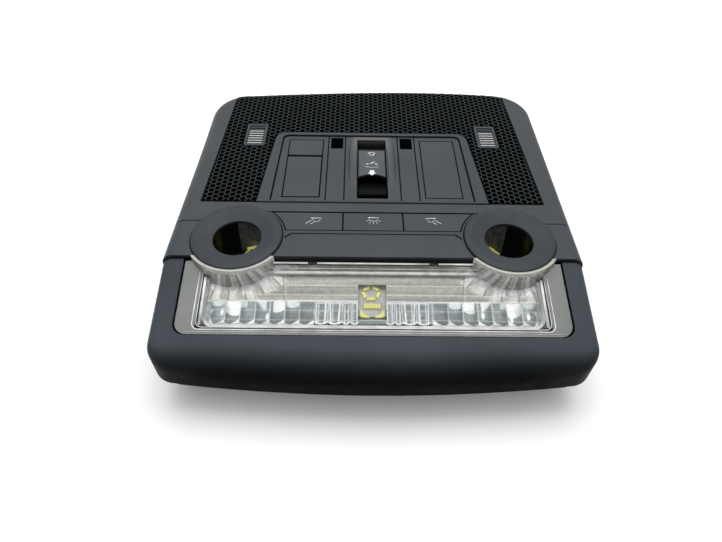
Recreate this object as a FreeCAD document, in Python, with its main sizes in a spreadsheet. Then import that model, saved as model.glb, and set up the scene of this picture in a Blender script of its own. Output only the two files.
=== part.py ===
import FreeCAD, Part

import math
import os
import re

import Sketcher
from FreeCAD import Placement, Rotation, Vector

# A car's roof console lying on its back: a dome light behind a clear lens, two reading lamps,
# light buttons, a sliding roof switch in a control panel, and a mesh grille.
# Millimetres. Origin under the middle of the console, +Z out of its face, +Y towards the grille.

SIZES = {
    # Console outline
    "front_reach": 103.4,
    "rear_reach": 110.0,
    "width_front": 204.5,
    "width_rear": 206.0,
    "face_height": 50.0,
    "front_bow": 840.0,
    "rear_bow": 800.0,
    "front_corner": 11.0,
    "rear_corner": 24.0,
    "side_roll": 6.0,
    "front_roll": 15.0,
    "corner_roll": 10.0,
    "rear_roll": 12.0,
    "skirt": 18.0,
    "wall": 2.4,
    "seam": 0.5,
    "fit_gap": 0.4,
    "touch_gap": 0.2,
    "edge_round": 0.4,
    "margin": 6.0,
    # Centre trim and front bezel
    "trim_front": 47.5,
    "cheek_rear": 23.0,
    "slope": 13.0,
    "bezel_drop": 1.8,
    "bezel_rim": 8.0,
    "ledge_side": 10.0,
    "ledge_front": 4.0,
    # Reading lamps
    "ring_x": 67.7,
    "ring_y": 34.4,
    "ring_radius": 22.5,
    "ring_hole": 12.0,
    "ring_rise": 1.6,
    "ring_crest": 3.0,
    "ring_dish": 0.8,
    "ring_lip": 1.2,
    "ring_seat": 2.0,
    "ring_wall": 0.9,
    "spigot": 17.2,
    "spigot_wall": 1.7,
    "flange_thick": 1.2,
    "flange_drop": 0.6,
    "collar_inset": 0.5,
    "collar_depth": 12.0,
    "cup_top": 13.4,
    "cup_foot": 11.0,
    "cup_wall": 1.2,
    "cup_clear": 0.8,
    "reading_led_y": 9.0,
    "reading_led_step": 2.2,
    # Light buttons and their switches
    "button_rear": 15.6,
    "button_front": 29.1,
    "button_split": 15.4,
    "button_gap": 0.5,
    "button_thick": 3.0,
    "button_travel": 0.8,
    "shelf_depth": 8.0,
    "shelf_thick": 2.0,
    "rib_strip": 2.4,
    "groove_width": 0.6,
    "groove_depth": 0.7,
    "groove_drop": 3.0,
    "stem_width": 6.0,
    "stem_depth": 5.0,
    "stem_x": 31.0,
    "tact_size": 6.2,
    "tact_height": 3.4,
    "tact_well": 2.6,
    "plunger_radius": 1.6,
    "plunger_rise": 1.2,
    # Dome light
    "lens_half": 90.5,
    "lens_length": 39.0,
    "lens_thick": 2.6,
    "lens_rim": 1.6,
    "rim_rise": 0.9,
    "lens_corner": 6.0,
    "lens_recess": 1.0,
    "lens_gap": 0.7,
    "optic_drop": 2.0,
    "optic_thick": 1.8,
    "flute_length": 12.8,
    "flute_pitch": 4.1,
    "flute_height": 1.2,
    "tray_depth": 12.0,
    "tray_wall": 1.4,
    "facet_pitch": 7.2,
    "facet_height": 3.2,
    "facet_length": 12.0,
    "led_board_width": 20.0,
    "led_board_length": 17.5,
    "led_board_thick": 1.0,
    "led_size": 1.6,
    "led_height": 0.8,
    "led_circle": 3.6,
    "led_ring_y": 14.6,
    "led_comb_y": 20.9,
    "led_comb_pitch": 2.4,
    "led_corner_x": 5.6,
    "led_corner_y": 24.6,
    "led_board_front": 26.5,
    # Grille and its covers
    "grille_front": 8.0,
    "grille_half_front": 90.6,
    "grille_half_rear": 86.0,
    "grille_depth": 2.4,
    "grille_thick": 2.2,
    "hexagon_pitch": 10.8,
    "hexagon_web": 1.2,
    "mic_x": 69.5,
    "mic_y": 53.5,
    "mic_width": 12.6,
    "mic_length": 22.6,
    "mic_rise": 0.3,
    "mic_border": 1.5,
    "mic_slot": 1.4,
    "mic_pitch": 2.4,
    "filter_thick": 0.9,
    "capsule_radius": 4.8,
    "capsule_height": 4.6,
    "mic_hole": 3.0,
    # Control panel
    "panel_front": 8.2,
    "panel_rear": 55.9,
    "panel_half_front": 61.6,
    "panel_half_rear": 56.8,
    "panel_corner": 7.0,
    "panel_rise": 0.6,
    "border_front_side": 6.9,
    "border_rear_side": 4.0,
    "border_rear": 2.9,
    "border_front": 1.2,
    "panel_line": 0.4,
    "plate_corner": 3.6,
    "plate_recess": 0.2,
    "plate_thick": 3.0,
    "tray_floor": 2.0,
    "strip_inner": 15.4,
    "strip_outer": 25.4,
    "blank_inner": 28.4,
    "blank_outer": 48.8,
    "blank_front": 3.7,
    "blank_rear": 49.2,
    "blank_split": 34.0,
    "window_inner": 16.9,
    "window_outer": 23.9,
    "window_front": 40.7,
    "window_rear": 51.4,
    "window_recess": 0.5,
    # Flap and call button
    "flap_gap": 0.6,
    "flap_thick": 2.4,
    "knuckle": 1.9,
    "pin_radius": 0.8,
    "pin_clear": 0.3,
    "pin_reach": 1.4,
    "well_side": 0.4,
    "well_front": 2.4,
    "well_depth": 7.0,
    "well_wall": 1.5,
    "call_top": 0.6,
    "call_thick": 5.0,
    # Roof switch
    "slot_half": 8.4,
    "slot_front": 4.1,
    "slot_rear": 49.5,
    "slide_travel": 3.0,
    "knob_side_gap": 0.6,
    "knob_sink": 0.4,
    "knob_round": 0.8,
    "knob_height": 11.4,
    "knob_tail": 7.5,
    "knob_tail_drop": 3.0,
    "scoop_rear": 17.1,
    "scoop_front": 2.7,
    "scoop_radius": 13.4,
    "scoop_depth": 6.0,
    "guard_width": 3.4,
    "guard_inset": 0.8,
    "guard_y": 28.0,
    "guard_height": 1.5,
    "guard_length": 36.0,
    "post_half": 5.0,
    "post_length": 26.0,
    "post_depth": 3.2,
    "sled_half": 10.0,
    "sled_length": 44.0,
    "sled_thick": 4.0,
    "sled_gap": 0.3,
    "sled_web": 0.8,
    "channel_floor": 2.0,
    "channel_wall": 2.4,
    "knob_travel": 0.8,
    # Housing, board and fastenings
    "housing_inset": 5.0,
    "housing_floor": 8.0,
    "housing_rim": 13.0,
    "housing_step": 64.0,
    "shelf_height": 28.0,
    "sump_half": 58.0,
    "sump_front": 46.0,
    "sump_rear": 60.0,
    "board_drop": 25.0,
    "board_thick": 1.6,
    "board_half_front": 84.0,
    "board_half_rear": 60.0,
    "board_front": 57.0,
    "board_neck": 14.0,
    "board_rear": 58.0,
    "pillar_radius": 3.0,
    "pillar_x": 50.0,
    "pillar_front": 40.0,
    "pillar_rear": 40.0,
    "header_half": 24.0,
    "header_front": 42.0,
    "header_rear": 66.0,
    "header_wall": 1.6,
    "socket_depth": 14.0,
    "contact_size": 0.8,
    "contact_length": 6.0,
    "contact_pitch": 3.5,
    "contact_row": 3.0,
    "chip_x": 34.0,
    "chip_size": 12.0,
    "chip_height": 2.0,
    "boss_radius": 3.6,
    "screw_radius": 1.5,
    "screw_hole": 1.8,
    "screw_head": 3.4,
    "head_height": 2.0,
    "screw_grip": 9.0,
    "side_screw_x": 80.0,
    "side_screw_y": 25.0,
    "rear_screw_x": 50.0,
    "rear_screw_inset": 25.0,
    "front_screw_x": 66.0,
    "front_screw_inset": 14.4,
    "clip_width": 14.0,
    "clip_metal": 0.7,
    "clip_gap": 0.3,
    "clip_foot": 12.0,
    "clip_height": 14.0,
    "clip_bulge": 3.2,
    "clip_bend": 5.6,
    "clip_throat": 2.8,
    "clip_front": 66.0,
    "clip_rear": 36.0,
}

SKETCH_START = 100
FLUTES_CENTRE = 13
WIDE_RIBS = 7
FACETS = 9
CONTACTS_PER_ROW = 12
MIC_SLOTS = 8
RING_LEDS = 5
COMB_LEDS = 5

doc = FreeCAD.newDocument("car_interior_light")
sheet = doc.addObject("Spreadsheet::Sheet", "Dimensions")
for row, (alias, number) in enumerate(SIZES.items(), start=1):
    sheet.set(f"A{row}", alias)
    sheet.set(f"B{row}", str(number))
    sheet.setAlias(f"B{row}", alias)
doc.recompute()

WORD = re.compile(r"[a-z]+(?:_[a-z]+)*")
AXIS_TURN = {
    "x": Rotation(Vector(0, 1, 0), 90),
    "y": Rotation(Vector(1, 0, 0), -90),
    "z": Rotation(),
}
PIECES = []


def bind(item, prop, text):
    """Ties a property to the sheet: each size name in the text becomes a reference to its cell."""
    words = WORD.sub(lambda m: "Dimensions." + m.group() if m.group() in SIZES else m.group(), text)
    item.setExpression(prop, words)


def place(item, x, y, z):
    """Ties an object's position to the sheet."""
    for letter, text in zip("xyz", (x, y, z)):
        bind(item, f"Placement.Base.{letter}", text)
    return item


def across(middle, width):
    """Low and high ends of a width laid evenly about a middle."""
    return f"{middle} - {width} / 2", f"{middle} + {width} / 2"


def box(name, x, y, z):
    """Block between two limits along each axis."""
    item = doc.addObject("Part::Box", name)
    for side, (low, high) in zip(("Length", "Width", "Height"), (x, y, z)):
        bind(item, side, f"({high}) - ({low})")
    return place(item, x[0], y[0], z[0])


def cylinder(name, foot, radius, height, axis="z"):
    """Round bar that starts at a point and runs along an axis."""
    item = doc.addObject("Part::Cylinder", name)
    item.Placement = Placement(Vector(), AXIS_TURN[axis])
    bind(item, "Radius", radius)
    bind(item, "Height", height)
    return place(item, *foot)


def sketch_outline(body, name, plane, outline):
    """Closed sketch of straight lines whose corners are tied to the sheet."""
    sketch = body.newObject("Sketcher::SketchObject", name + "_outline")
    support = next(item for item in body.Origin.OriginFeatures if item.Role == plane)
    sketch.AttachmentSupport = [(support, "")]
    sketch.MapMode = "FlatFace"
    count = len(outline)
    turns = [2 * math.pi * n / count for n in range(count)]
    start = [Vector(math.cos(turn), math.sin(turn), 0) * SKETCH_START for turn in turns]
    for n in range(count):
        sketch.addGeometry(Part.LineSegment(start[n], start[(n + 1) % count]))
    for n in range(count):
        sketch.addConstraint(Sketcher.Constraint("Coincident", n, 2, (n + 1) % count, 1))
    for n, corner in enumerate(outline):
        for kind, first, text in zip(("DistanceX", "DistanceY"), start[n], corner):
            index = sketch.addConstraint(Sketcher.Constraint(kind, n, 1, first))
            bind(sketch, f"Constraints[{index}]", text)
    return sketch


def round_corners(body, sketch, feature, rounds, on_corner):
    """Rounds the edges that start from the numbered corners of a sketch."""
    for number, (corners, radius) in enumerate(rounds):
        doc.recompute()
        spots = [sketch.Placement.multVec(sketch.Geometry[n].StartPoint) for n in corners]
        names = []
        for n, edge in enumerate(feature.Shape.Edges, start=1):
            if any(on_corner(edge, spot) for spot in spots):
                names.append(f"Edge{n}")
        fillet = body.newObject("PartDesign::Fillet", f"{body.Name}_round_{number}")
        fillet.Base = (feature, names)
        bind(fillet, "Radius", radius)
        feature = fillet


def prism(name, plane, outline, low, high, rounds=()):
    """Outline on an origin plane, padded between two distances from it, with rounded corners."""
    body = doc.addObject("PartDesign::Body", name)
    sketch = sketch_outline(body, name, plane, outline)
    bind(sketch, "AttachmentOffset.Base.z", low)
    pad = body.newObject("PartDesign::Pad", name + "_pad")
    pad.Profile = sketch
    bind(pad, "Length", f"({high}) - ({low})")
    doc.recompute()
    normal = sketch.Placement.Rotation.multVec(Vector(0, 0, 1))

    def along_pad(edge, spot):
        return all(((end.Point - spot).cross(normal)).Length < 1e-4 for end in edge.Vertexes)

    round_corners(body, sketch, pad, rounds, along_pad)
    return body


def turned(name, outline, rounds=()):
    """Outline of radii and heights, revolved about the vertical axis."""
    body = doc.addObject("PartDesign::Body", name)
    sketch = sketch_outline(body, name, "XZ_Plane", outline)
    revolution = body.newObject("PartDesign::Revolution", name + "_turn")
    revolution.Profile = sketch
    revolution.ReferenceAxis = (sketch, ["V_Axis"])
    revolution.Angle = 360

    def on_circle(edge, spot):
        ring = edge.Curve
        if ring.TypeId != "Part::GeomCircle":
            return False
        return abs(ring.Radius - spot.x) < 1e-4 and abs(ring.Center.z - spot.z) < 1e-4

    round_corners(body, sketch, revolution, rounds, on_circle)
    return body


def common(name, *items):
    """What the solids have in common."""
    item = doc.addObject("Part::MultiCommon", name)
    item.Shapes = items
    return item


def fuse(name, *items):
    """The solids joined into one."""
    item = doc.addObject("Part::MultiFuse", name)
    item.Shapes = items
    item.Refine = True
    return item


def cut(name, base, *tools):
    """A solid less one or more others."""
    item = doc.addObject("Part::Cut", name)
    item.Base = base
    item.Tool = tools[0] if len(tools) == 1 else fuse(name + "_tools", *tools)
    return item


def group(name, *items):
    """Separate solids kept together."""
    item = doc.addObject("Part::Compound", name)
    item.Links = items
    return item


def mirrored(name, source):
    """The same solid on the other side of the console."""
    item = doc.addObject("Part::Mirroring", name)
    item.Source = source
    item.Normal = Vector(1, 0, 0)
    return item


def both(name, source):
    """A solid and its mirror image, joined for use as a tool."""
    return group(name, source, mirrored(name + "_other", source))


def soften(name, source, chosen, radius="edge_round"):
    """Rounds the edges that a test picks, all by one size."""
    doc.recompute()
    item = doc.addObject("Part::Fillet", name)
    item.Base = source
    size = SIZES[radius]
    item.Edges = [(n, size, size) for n, edge in enumerate(source.Shape.Edges, start=1) if chosen(edge)]
    return item


def on_top(source):
    """Test for the outer edges of a flat top face."""
    doc.recompute()
    top = source.Shape.BoundBox.ZMax

    def chosen(edge):
        box_of_edge = edge.BoundBox
        return box_of_edge.ZMin > top - 1e-4

    return chosen


def tilted(item):
    """Lays a solid built flat on the slope of the front bezel, hinged at the bezel's rear edge."""
    item.Placement = Placement(Vector(), Rotation(Vector(1, 0, 0), 1))
    bind(item, "Placement.Rotation.Angle", "slope")
    return place(item, "0", "-trim_front", "face_height - bezel_drop")


def piece(label, item):
    """Names a finished sub-part."""
    item.Label = label
    PIECES.append(item)
    return item


def pair(name, left):
    """Left sub-part and its mirror image on the right."""
    piece(name + "_left", left)
    piece(name + "_right", mirrored(name + "_right_half", left))


# Console outline and the skins that follow it


def plan(name, inset):
    """Upright block with the console's outline, drawn in by a distance on every side."""
    front = "-(front_reach + margin)"
    rear = "rear_reach + margin"
    sides = prism(name + "_sides", "XY_Plane", [
        (f"-(width_front / 2 - ({inset}))", front),
        (f"width_front / 2 - ({inset})", front),
        (f"width_rear / 2 - ({inset})", rear),
        (f"-(width_rear / 2 - ({inset}))", rear),
    ], "-margin", "face_height + margin")
    height = "face_height + 2 * margin"
    front_arc = cylinder(name + "_front", ("0", "front_bow - front_reach", "-margin"),
                         f"front_bow - ({inset})", height)
    front_arc.Placement.Rotation = Rotation(Vector(0, 0, 1), -90)
    rear_arc = cylinder(name + "_rear", ("0", "rear_reach - rear_bow", "-margin"),
                        f"rear_bow - ({inset})", height)
    block = common(name + "_block", sides, front_arc, rear_arc)
    block.Refine = False
    doc.recompute()
    inset_now = SIZES["front_bow"] - front_arc.Radius.Value
    edges = []
    for n, edge in enumerate(block.Shape.Edges, start=1):
        upright = abs(edge.tangentAt(edge.FirstParameter).z) > 0.99
        if upright and abs(edge.CenterOfMass.x) > SIZES["margin"]:
            corner = SIZES["front_corner" if edge.CenterOfMass.y < 0 else "rear_corner"]
            edges.append((n, corner - inset_now, corner - inset_now))
    rounded = doc.addObject("Part::Fillet", name)
    rounded.Base = block
    rounded.Edges = edges
    return rounded, inset_now


def rolled(name, block, cut_face, side, corner, middle, inset):
    """Rolls the outer top edge over: one radius along the sides, others at the end's corners and middle."""
    doc.recompute()
    shape = block.Shape
    edges = []
    for n, edge in enumerate(shape.Edges, start=1):
        spot = edge.valueAt((edge.FirstParameter + edge.LastParameter) / 2)
        rises = []
        for face in shape.ancestorsOfType(edge, Part.Face):
            rises.append(face.normalAt(*face.Surface.parameter(spot)).z)
        if min(rises) > 0.05 or max(rises) < 0.8 or cut_face(spot):
            continue
        radii = []
        for parameter in (edge.FirstParameter, edge.LastParameter):
            run = edge.tangentAt(parameter)
            radius = side
            if abs(run.x) > abs(run.y):
                radius = middle if abs(edge.valueAt(parameter).x) < SIZES["margin"] else corner
            radii.append(max(SIZES[radius] - inset, SIZES["edge_round"]))
        edges.append((n, *radii))
    item = doc.addObject("Part::Fillet", name)
    item.Base = block
    item.Edges = edges
    return item


def rear_skin(name, inset, below="0"):
    """Solid under the flat face, rolled at the sides and the rear, drawn in by a distance."""
    outline, inset_now = plan(name + "_plan", inset)
    room = box(name + "_room", ("-width_front", "width_front"),
               (f"-trim_front + ({inset})", "rear_reach + margin"),
               (f"face_height - skirt - ({below})", f"face_height - ({inset})"))
    block = common(name + "_cut", outline, room)
    front = inset_now - SIZES["trim_front"]
    return rolled(name, block, lambda spot: abs(spot.y - front) < 1e-3,
                  "side_roll", "rear_roll", "rear_roll", inset_now)


def bezel_slab(name, top, bottom):
    """Slab along the slope, between two depths below the bezel's top."""
    rear = "-(trim_front + seam)"
    front = "-(front_reach + margin)"
    fall_rear = "seam * tan(slope)"
    fall_front = "(front_reach + margin - trim_front) * tan(slope)"
    start = "face_height - bezel_drop"
    return prism(name, "YZ_Plane", [
        (rear, f"{start} - {fall_rear} - ({top}) / cos(slope)"),
        (front, f"{start} - {fall_front} - ({top}) / cos(slope)"),
        (front, f"{start} - {fall_front} - ({bottom}) / cos(slope)"),
        (rear, f"{start} - {fall_rear} - ({bottom}) / cos(slope)"),
    ], "-width_front", "width_front")


def front_skin(name, inset, below="0"):
    """Solid under the sloping front, rolled at the sides and more at the front."""
    outline, inset_now = plan(name + "_plan", inset)
    slab = bezel_slab(name + "_slab", inset, f"skirt + ({below})")
    block = common(name + "_cut", outline, slab)
    block.Refine = False
    rear = -(SIZES["trim_front"] + SIZES["seam"])
    return rolled(name, block, lambda spot: abs(spot.y - rear) < 1e-3,
                  "side_roll", "corner_roll", "front_roll", inset_now)


rear_outer = rear_skin("rear_outer", "0")
rear_inner = rear_skin("rear_inner", "wall", "margin")
rear_shell = cut("rear_shell", rear_outer, rear_inner)
front_outer = front_skin("front_outer", "0")
front_inner = front_skin("front_inner", "wall", "margin")
front_shell = cut("front_shell", front_outer, front_inner)


def ring_post(name, radius, low, high):
    """Upright round bar on the left reading lamp's axis."""
    return cylinder(name, ("-ring_x", "-ring_y", low), radius, f"({high}) - ({low})")


SEAT = "face_height - ring_seat"
RING_ROOM = "ring_radius + fit_gap"
COLLAR = "ring_radius - collar_inset"
BOARD_FOOT = "face_height - board_drop"
BOARD_TOP = f"{BOARD_FOOT} + board_thick"
STEM_FOOT = f"{BOARD_TOP} + tact_height + plunger_rise"
PLATE_TOP = "face_height - plate_recess"
PLATE_FOOT = "face_height - plate_recess - plate_thick"
FLOOR_FOOT = f"{PLATE_FOOT} - tray_floor"
BUTTON_Y = "-(button_rear + button_front) / 2"
SCREW_Y = {
    "front": "front_screw_inset - front_reach",
    "side": "side_screw_y",
    "rear": "rear_reach - rear_screw_inset",
}
CALL_X = "-(blank_inner + blank_outer) / 2"
CALL_Y = "(blank_split - 2 * knuckle - blank_front) / 2"


def trim_zone(name, shift):
    """Ground plan of the centre trim: stepped back behind the ring on each side."""
    side = f"-cheek_rear + ({shift})"
    middle = f"-button_rear + ({shift})"
    return prism(name, "XY_Plane", [
        ("-width_front", "-width_front"),
        ("width_front", "-width_front"),
        ("width_front", side),
        ("ring_x", side),
        ("ring_x", middle),
        ("-ring_x", middle),
        ("-ring_x", side),
        ("-width_front", side),
    ], "-margin", "face_height + margin")


def make_centre_trim():
    """Bar with cheeks, two round lamp seats on collars, and the notch for the buttons."""
    zone = trim_zone("trim_zone", "-seam / 2")
    bar = common("trim_bar", rear_shell, zone)
    notch = box("button_notch", ("-ring_x", "ring_x"), ("-button_front - button_gap", "0"),
                ("face_height - button_thick - wall", "face_height + margin"))
    ring_edge = both("ring_edge", ring_post("ring_edge_half", f"{RING_ROOM} + ring_wall",
                                            "face_height - skirt / 2", "face_height + margin"))
    ring_edge_kept = common("ring_edge_kept", ring_edge, rear_outer, zone)
    shelf_top = "face_height - shelf_depth"
    shelf = box("button_shelf", ("-ring_x", "ring_x"),
                ("-button_front - rib_strip", "-button_rear - seam"),
                (f"{shelf_top} - shelf_thick", shelf_top))
    rib = box("button_rib", ("-ring_x", "ring_x"),
              ("-button_front - rib_strip", "-button_front - button_gap"),
              (f"{shelf_top} - shelf_thick", "face_height - wall / 2"))
    collar = both("collar", ring_post("collar_half", COLLAR, f"{SEAT} - collar_depth", SEAT))
    body = fuse("trim_body", cut("trim_open", bar, notch), ring_edge_kept, shelf, rib, collar)
    seat = both("ring_seat_room", ring_post("ring_seat_half", RING_ROOM, SEAT, "face_height + margin"))
    flange = both("flange_room", ring_post("flange_half", "spigot + fit_gap",
                                           f"{SEAT} - flange_drop - flange_thick", "face_height"))
    bore = both("cup_room", ring_post("cup_room_half", "cup_top + cup_wall + cup_clear", "0", "face_height"))
    stems = [box(f"stem_room_{n}", (f"{x} - stem_width / 2 - fit_gap", f"{x} + stem_width / 2 + fit_gap"),
                 (f"{BUTTON_Y} - stem_depth / 2 - fit_gap", f"{BUTTON_Y} + stem_depth / 2 + fit_gap"),
                 ("0", "face_height")) for n, x in enumerate(("-stem_x", "0", "stem_x"))]
    groove_y = "-button_front - rib_strip"
    end_x = "ring_x - ring_radius - ring_wall"
    groove = prism("trim_groove", "XY_Plane", [
        (f"-({end_x})", f"{groove_y} - groove_drop"),
        (f"-({end_x} - groove_drop)", groove_y),
        (f"{end_x} - groove_drop", groove_y),
        (end_x, f"{groove_y} - groove_drop"),
        (f"{end_x} - groove_width", f"{groove_y} - groove_drop - groove_width"),
        (f"{end_x} - groove_drop - groove_width", f"{groove_y} - groove_width"),
        (f"-({end_x} - groove_drop - groove_width)", f"{groove_y} - groove_width"),
        (f"-({end_x} - groove_width)", f"{groove_y} - groove_drop - groove_width"),
    ], "face_height - groove_depth", "face_height + margin")
    piece("centre_trim", cut("centre_trim", body, seat, flange, bore, groove, *stems))


def make_rings():
    """Round bezel, crowned and dished towards its hole, on a spigot that holds the cup's flange."""
    crest = "face_height + ring_rise"
    left = turned("ring_left", [
        ("ring_hole", "face_height - ring_dish"),
        ("ring_hole", "face_height - ring_dish - ring_lip"),
        ("spigot - spigot_wall", f"{SEAT} - flange_drop"),
        ("spigot", f"{SEAT} - flange_drop"),
        ("spigot", SEAT),
        ("ring_radius", SEAT),
        ("ring_radius", f"{crest} - flange_drop"),
        ("ring_radius - ring_crest", crest),
    ], [([6], "ring_dish"), ([7], "ring_crest"), ([0], "edge_round")])
    place(left, "-ring_x", "-ring_y", "0")
    pair("ring", left)


def make_reading_lamps():
    """Cup that hangs by its flange in the collar, with light sources on the board below it."""
    top = f"{SEAT} - flange_drop"
    foot = f"{BOARD_TOP} + led_height + cup_clear"
    left = turned("cup_left", [
        ("cup_top", top),
        ("cup_foot", foot),
        ("cup_foot + cup_wall", foot),
        ("cup_top + cup_wall", f"{top} - flange_thick"),
        ("spigot", f"{top} - flange_thick"),
        ("spigot", top),
    ])
    place(left, "-ring_x", "-ring_y", "0")
    pair("reading_reflector", left)
    chips = []
    for n, step in enumerate(("0", "reading_led_step")):
        x = f"-ring_x + {step}"
        y = "-ring_y + reading_led_y"
        chips.append(box(f"reading_chip_{n}", across(x, "led_size"),
                         across(y, "led_size"),
                         (BOARD_TOP, f"{BOARD_TOP} + led_height")))
    pair("reading_led", group("reading_led_half", *chips))


def make_buttons():
    """Three caps flush with the bar, each on a stem that stands on a switch plunger."""
    rear = "-button_rear - seam"
    cap_foot = "face_height - button_thick"
    outer_end = ring_post("button_end", f"{RING_ROOM} + ring_wall + button_gap", "0", "face_height + margin")
    side_cap = box("side_cap", ("-ring_x", "-button_split - button_gap / 2"), ("-button_front", rear),
                   (cap_foot, "face_height"))
    side_cap = cut("side_cap_cut", side_cap, outer_end)
    middle_cap = box("middle_cap", ("-button_split + button_gap / 2", "button_split - button_gap / 2"),
                     ("-button_front", rear), (cap_foot, "face_height"))
    pieces = {}
    for name, cap, x in (("left", side_cap, "-stem_x"), ("centre", middle_cap, "0")):
        cap = soften(f"button_{name}_cap", cap, on_top(cap))
        stem = box(f"button_{name}_stem", across(x, "stem_width"),
                   across(BUTTON_Y, "stem_depth"),
                   (STEM_FOOT, cap_foot))
        pieces[name] = fuse(f"button_{name}", cap, stem)
        piece(f"button_{name}", pieces[name])
    piece("button_right", mirrored("button_right", pieces["left"]))


def make_tact_switches():
    """Switch bases on the board, and the plunger in each."""
    spots = {
        "left": ("-stem_x", BUTTON_Y),
        "centre": ("0", BUTTON_Y),
        "right": ("stem_x", BUTTON_Y),
        "call": (CALL_X, CALL_Y),
    }
    bases = []
    for name, (x, y) in spots.items():
        case = box(f"tact_{name}", across(x, "tact_size"),
                   across(y, "tact_size"), (BOARD_TOP, f"{BOARD_TOP} + tact_height"))
        well_foot = f"{BOARD_TOP} + tact_height - tact_well"
        well = cylinder(f"tact_well_{name}", (x, y, well_foot), "plunger_radius + touch_gap",
                        "tact_well + margin")
        bases.append(cut(f"tact_base_{name}", case, well))
        foot = f"{well_foot} + button_travel + touch_gap"
        plunger = cylinder(f"plunger_{name}", (x, y, foot), "plunger_radius", f"{STEM_FOOT} - ({foot})")
        piece(f"plunger_{name}", plunger)
    piece("tact_bases", group("tact_bases", *bases))


def lens_outline(name, grow, grow_front, low, high):
    """Upright block over the lens opening, rounded at the two front corners."""
    front = f"-(trim_front + lens_length * cos(slope) + ({grow_front}))"
    half = f"lens_half + ({grow})"
    return prism(name, "XY_Plane", [
        (f"-({half})", front),
        (half, front),
        (half, "-trim_front + margin"),
        (f"-({half})", "-trim_front + margin"),
    ], low, high, [([0, 1], "lens_corner")])


def collar_room(name, gap):
    """Space round the two lamp collars."""
    return both(name, ring_post(name + "_half", f"{COLLAR} + ({gap})", "0", "face_height + margin"))


def make_front_bezel():
    """Rolled shell with a rim round the lens, a ledge that the lens lies on, and two screw bosses."""
    rim_room = lens_outline("rim_room", "lens_gap + wall", "lens_gap + wall", "0", "face_height")
    rim = common("bezel_rim_block", front_outer, rim_room, bezel_slab("rim_slab", "-margin", "bezel_rim"))
    foot = "housing_floor + wall + touch_gap"
    bar = cylinder("bezel_boss_bar", ("-front_screw_x", SCREW_Y["front"], foot), "boss_radius", "face_height")
    limit = front_skin("bezel_boss_limit", "wall / 2", "face_height")
    bosses = both("bezel_bosses", common("bezel_boss", limit, bar))
    lens_foot = "lens_recess + lens_thick + touch_gap"
    seat_room = lens_outline("lens_seat_room", "lens_gap", "lens_gap", "0", "face_height + margin")
    seat = common("lens_seat", seat_room, bezel_slab("lens_seat_slab", "-margin", lens_foot))
    opening = lens_outline("light_opening", "-ledge_side", "-ledge_front", "0", "face_height + margin")
    pilots = both("bezel_pilots", screw_hole("bezel_pilot", "front", "screw_radius + touch_gap", foot))
    body = fuse("bezel_body", front_shell, rim, bosses)
    piece("front_bezel", cut("front_bezel", body, seat, opening, pilots,
                             collar_room("bezel_collar_room", "lens_gap")))


def screw_hole(name, where, radius, foot):
    """Upright hole on one of the left screws' axes."""
    return cylinder(name, (f"-{where}_screw_x", SCREW_Y[where], foot), radius, "screw_grip")


# Dome light, built flat and laid on the slope


TRAY_HALF = "lens_half - ledge_side - lens_gap"
TRAY_FRONT = "lens_length - ledge_front - lens_gap"
TRAY_REAR = "lens_gap + (lens_recess + lens_thick + tray_depth + tray_wall) * tan(slope)"
LENS_FOOT = "-(lens_recess + lens_thick)"
OPTIC_TOP = f"{LENS_FOOT} - optic_drop"
TRAY_FLOOR = f"{LENS_FOOT} - tray_depth"
LED_BOARD_TOP = f"{OPTIC_TOP} - optic_thick - touch_gap - led_height"


def make_lens():
    """Clear cover, rounded at the front corners, with a raised rim where it is notched for each lamp."""
    flat = prism("lens_flat", "XY_Plane", [
        ("-lens_half", "-lens_length"),
        ("lens_half", "-lens_length"),
        ("lens_half", "margin"),
        ("-lens_half", "margin"),
    ], LENS_FOOT, "-lens_recess", [([0, 1], "lens_corner")])
    behind = box("lens_rear_room", ("-width_front", "width_front"), ("-trim_front - lens_gap", "0"),
                 ("0", "face_height + margin"))
    posts = both("lens_rim_posts", ring_post("lens_rim_post", f"{COLLAR} + lens_gap + lens_rim", "0",
                                             "face_height + rim_rise"))
    rims = common("lens_rims", posts, bezel_slab("lens_rim_slab", "-margin", "lens_recess + lens_thick / 2"))
    body = fuse("lens_body", tilted(flat), rims)
    piece("lens", cut("lens", body, behind, collar_room("lens_collar_room", "lens_gap")))


def flute(name, x, pitch):
    """Round-topped rib of a given width, running down the slope."""
    radius = f"(({pitch}) * ({pitch}) / 4 + flute_height * flute_height) / (2 * flute_height)"
    front = f"-({TRAY_FRONT} - tray_wall - fit_gap)"
    return cylinder(name, (x, front, f"{OPTIC_TOP} + flute_height - {radius}"), radius, "flute_length", "y")


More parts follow.
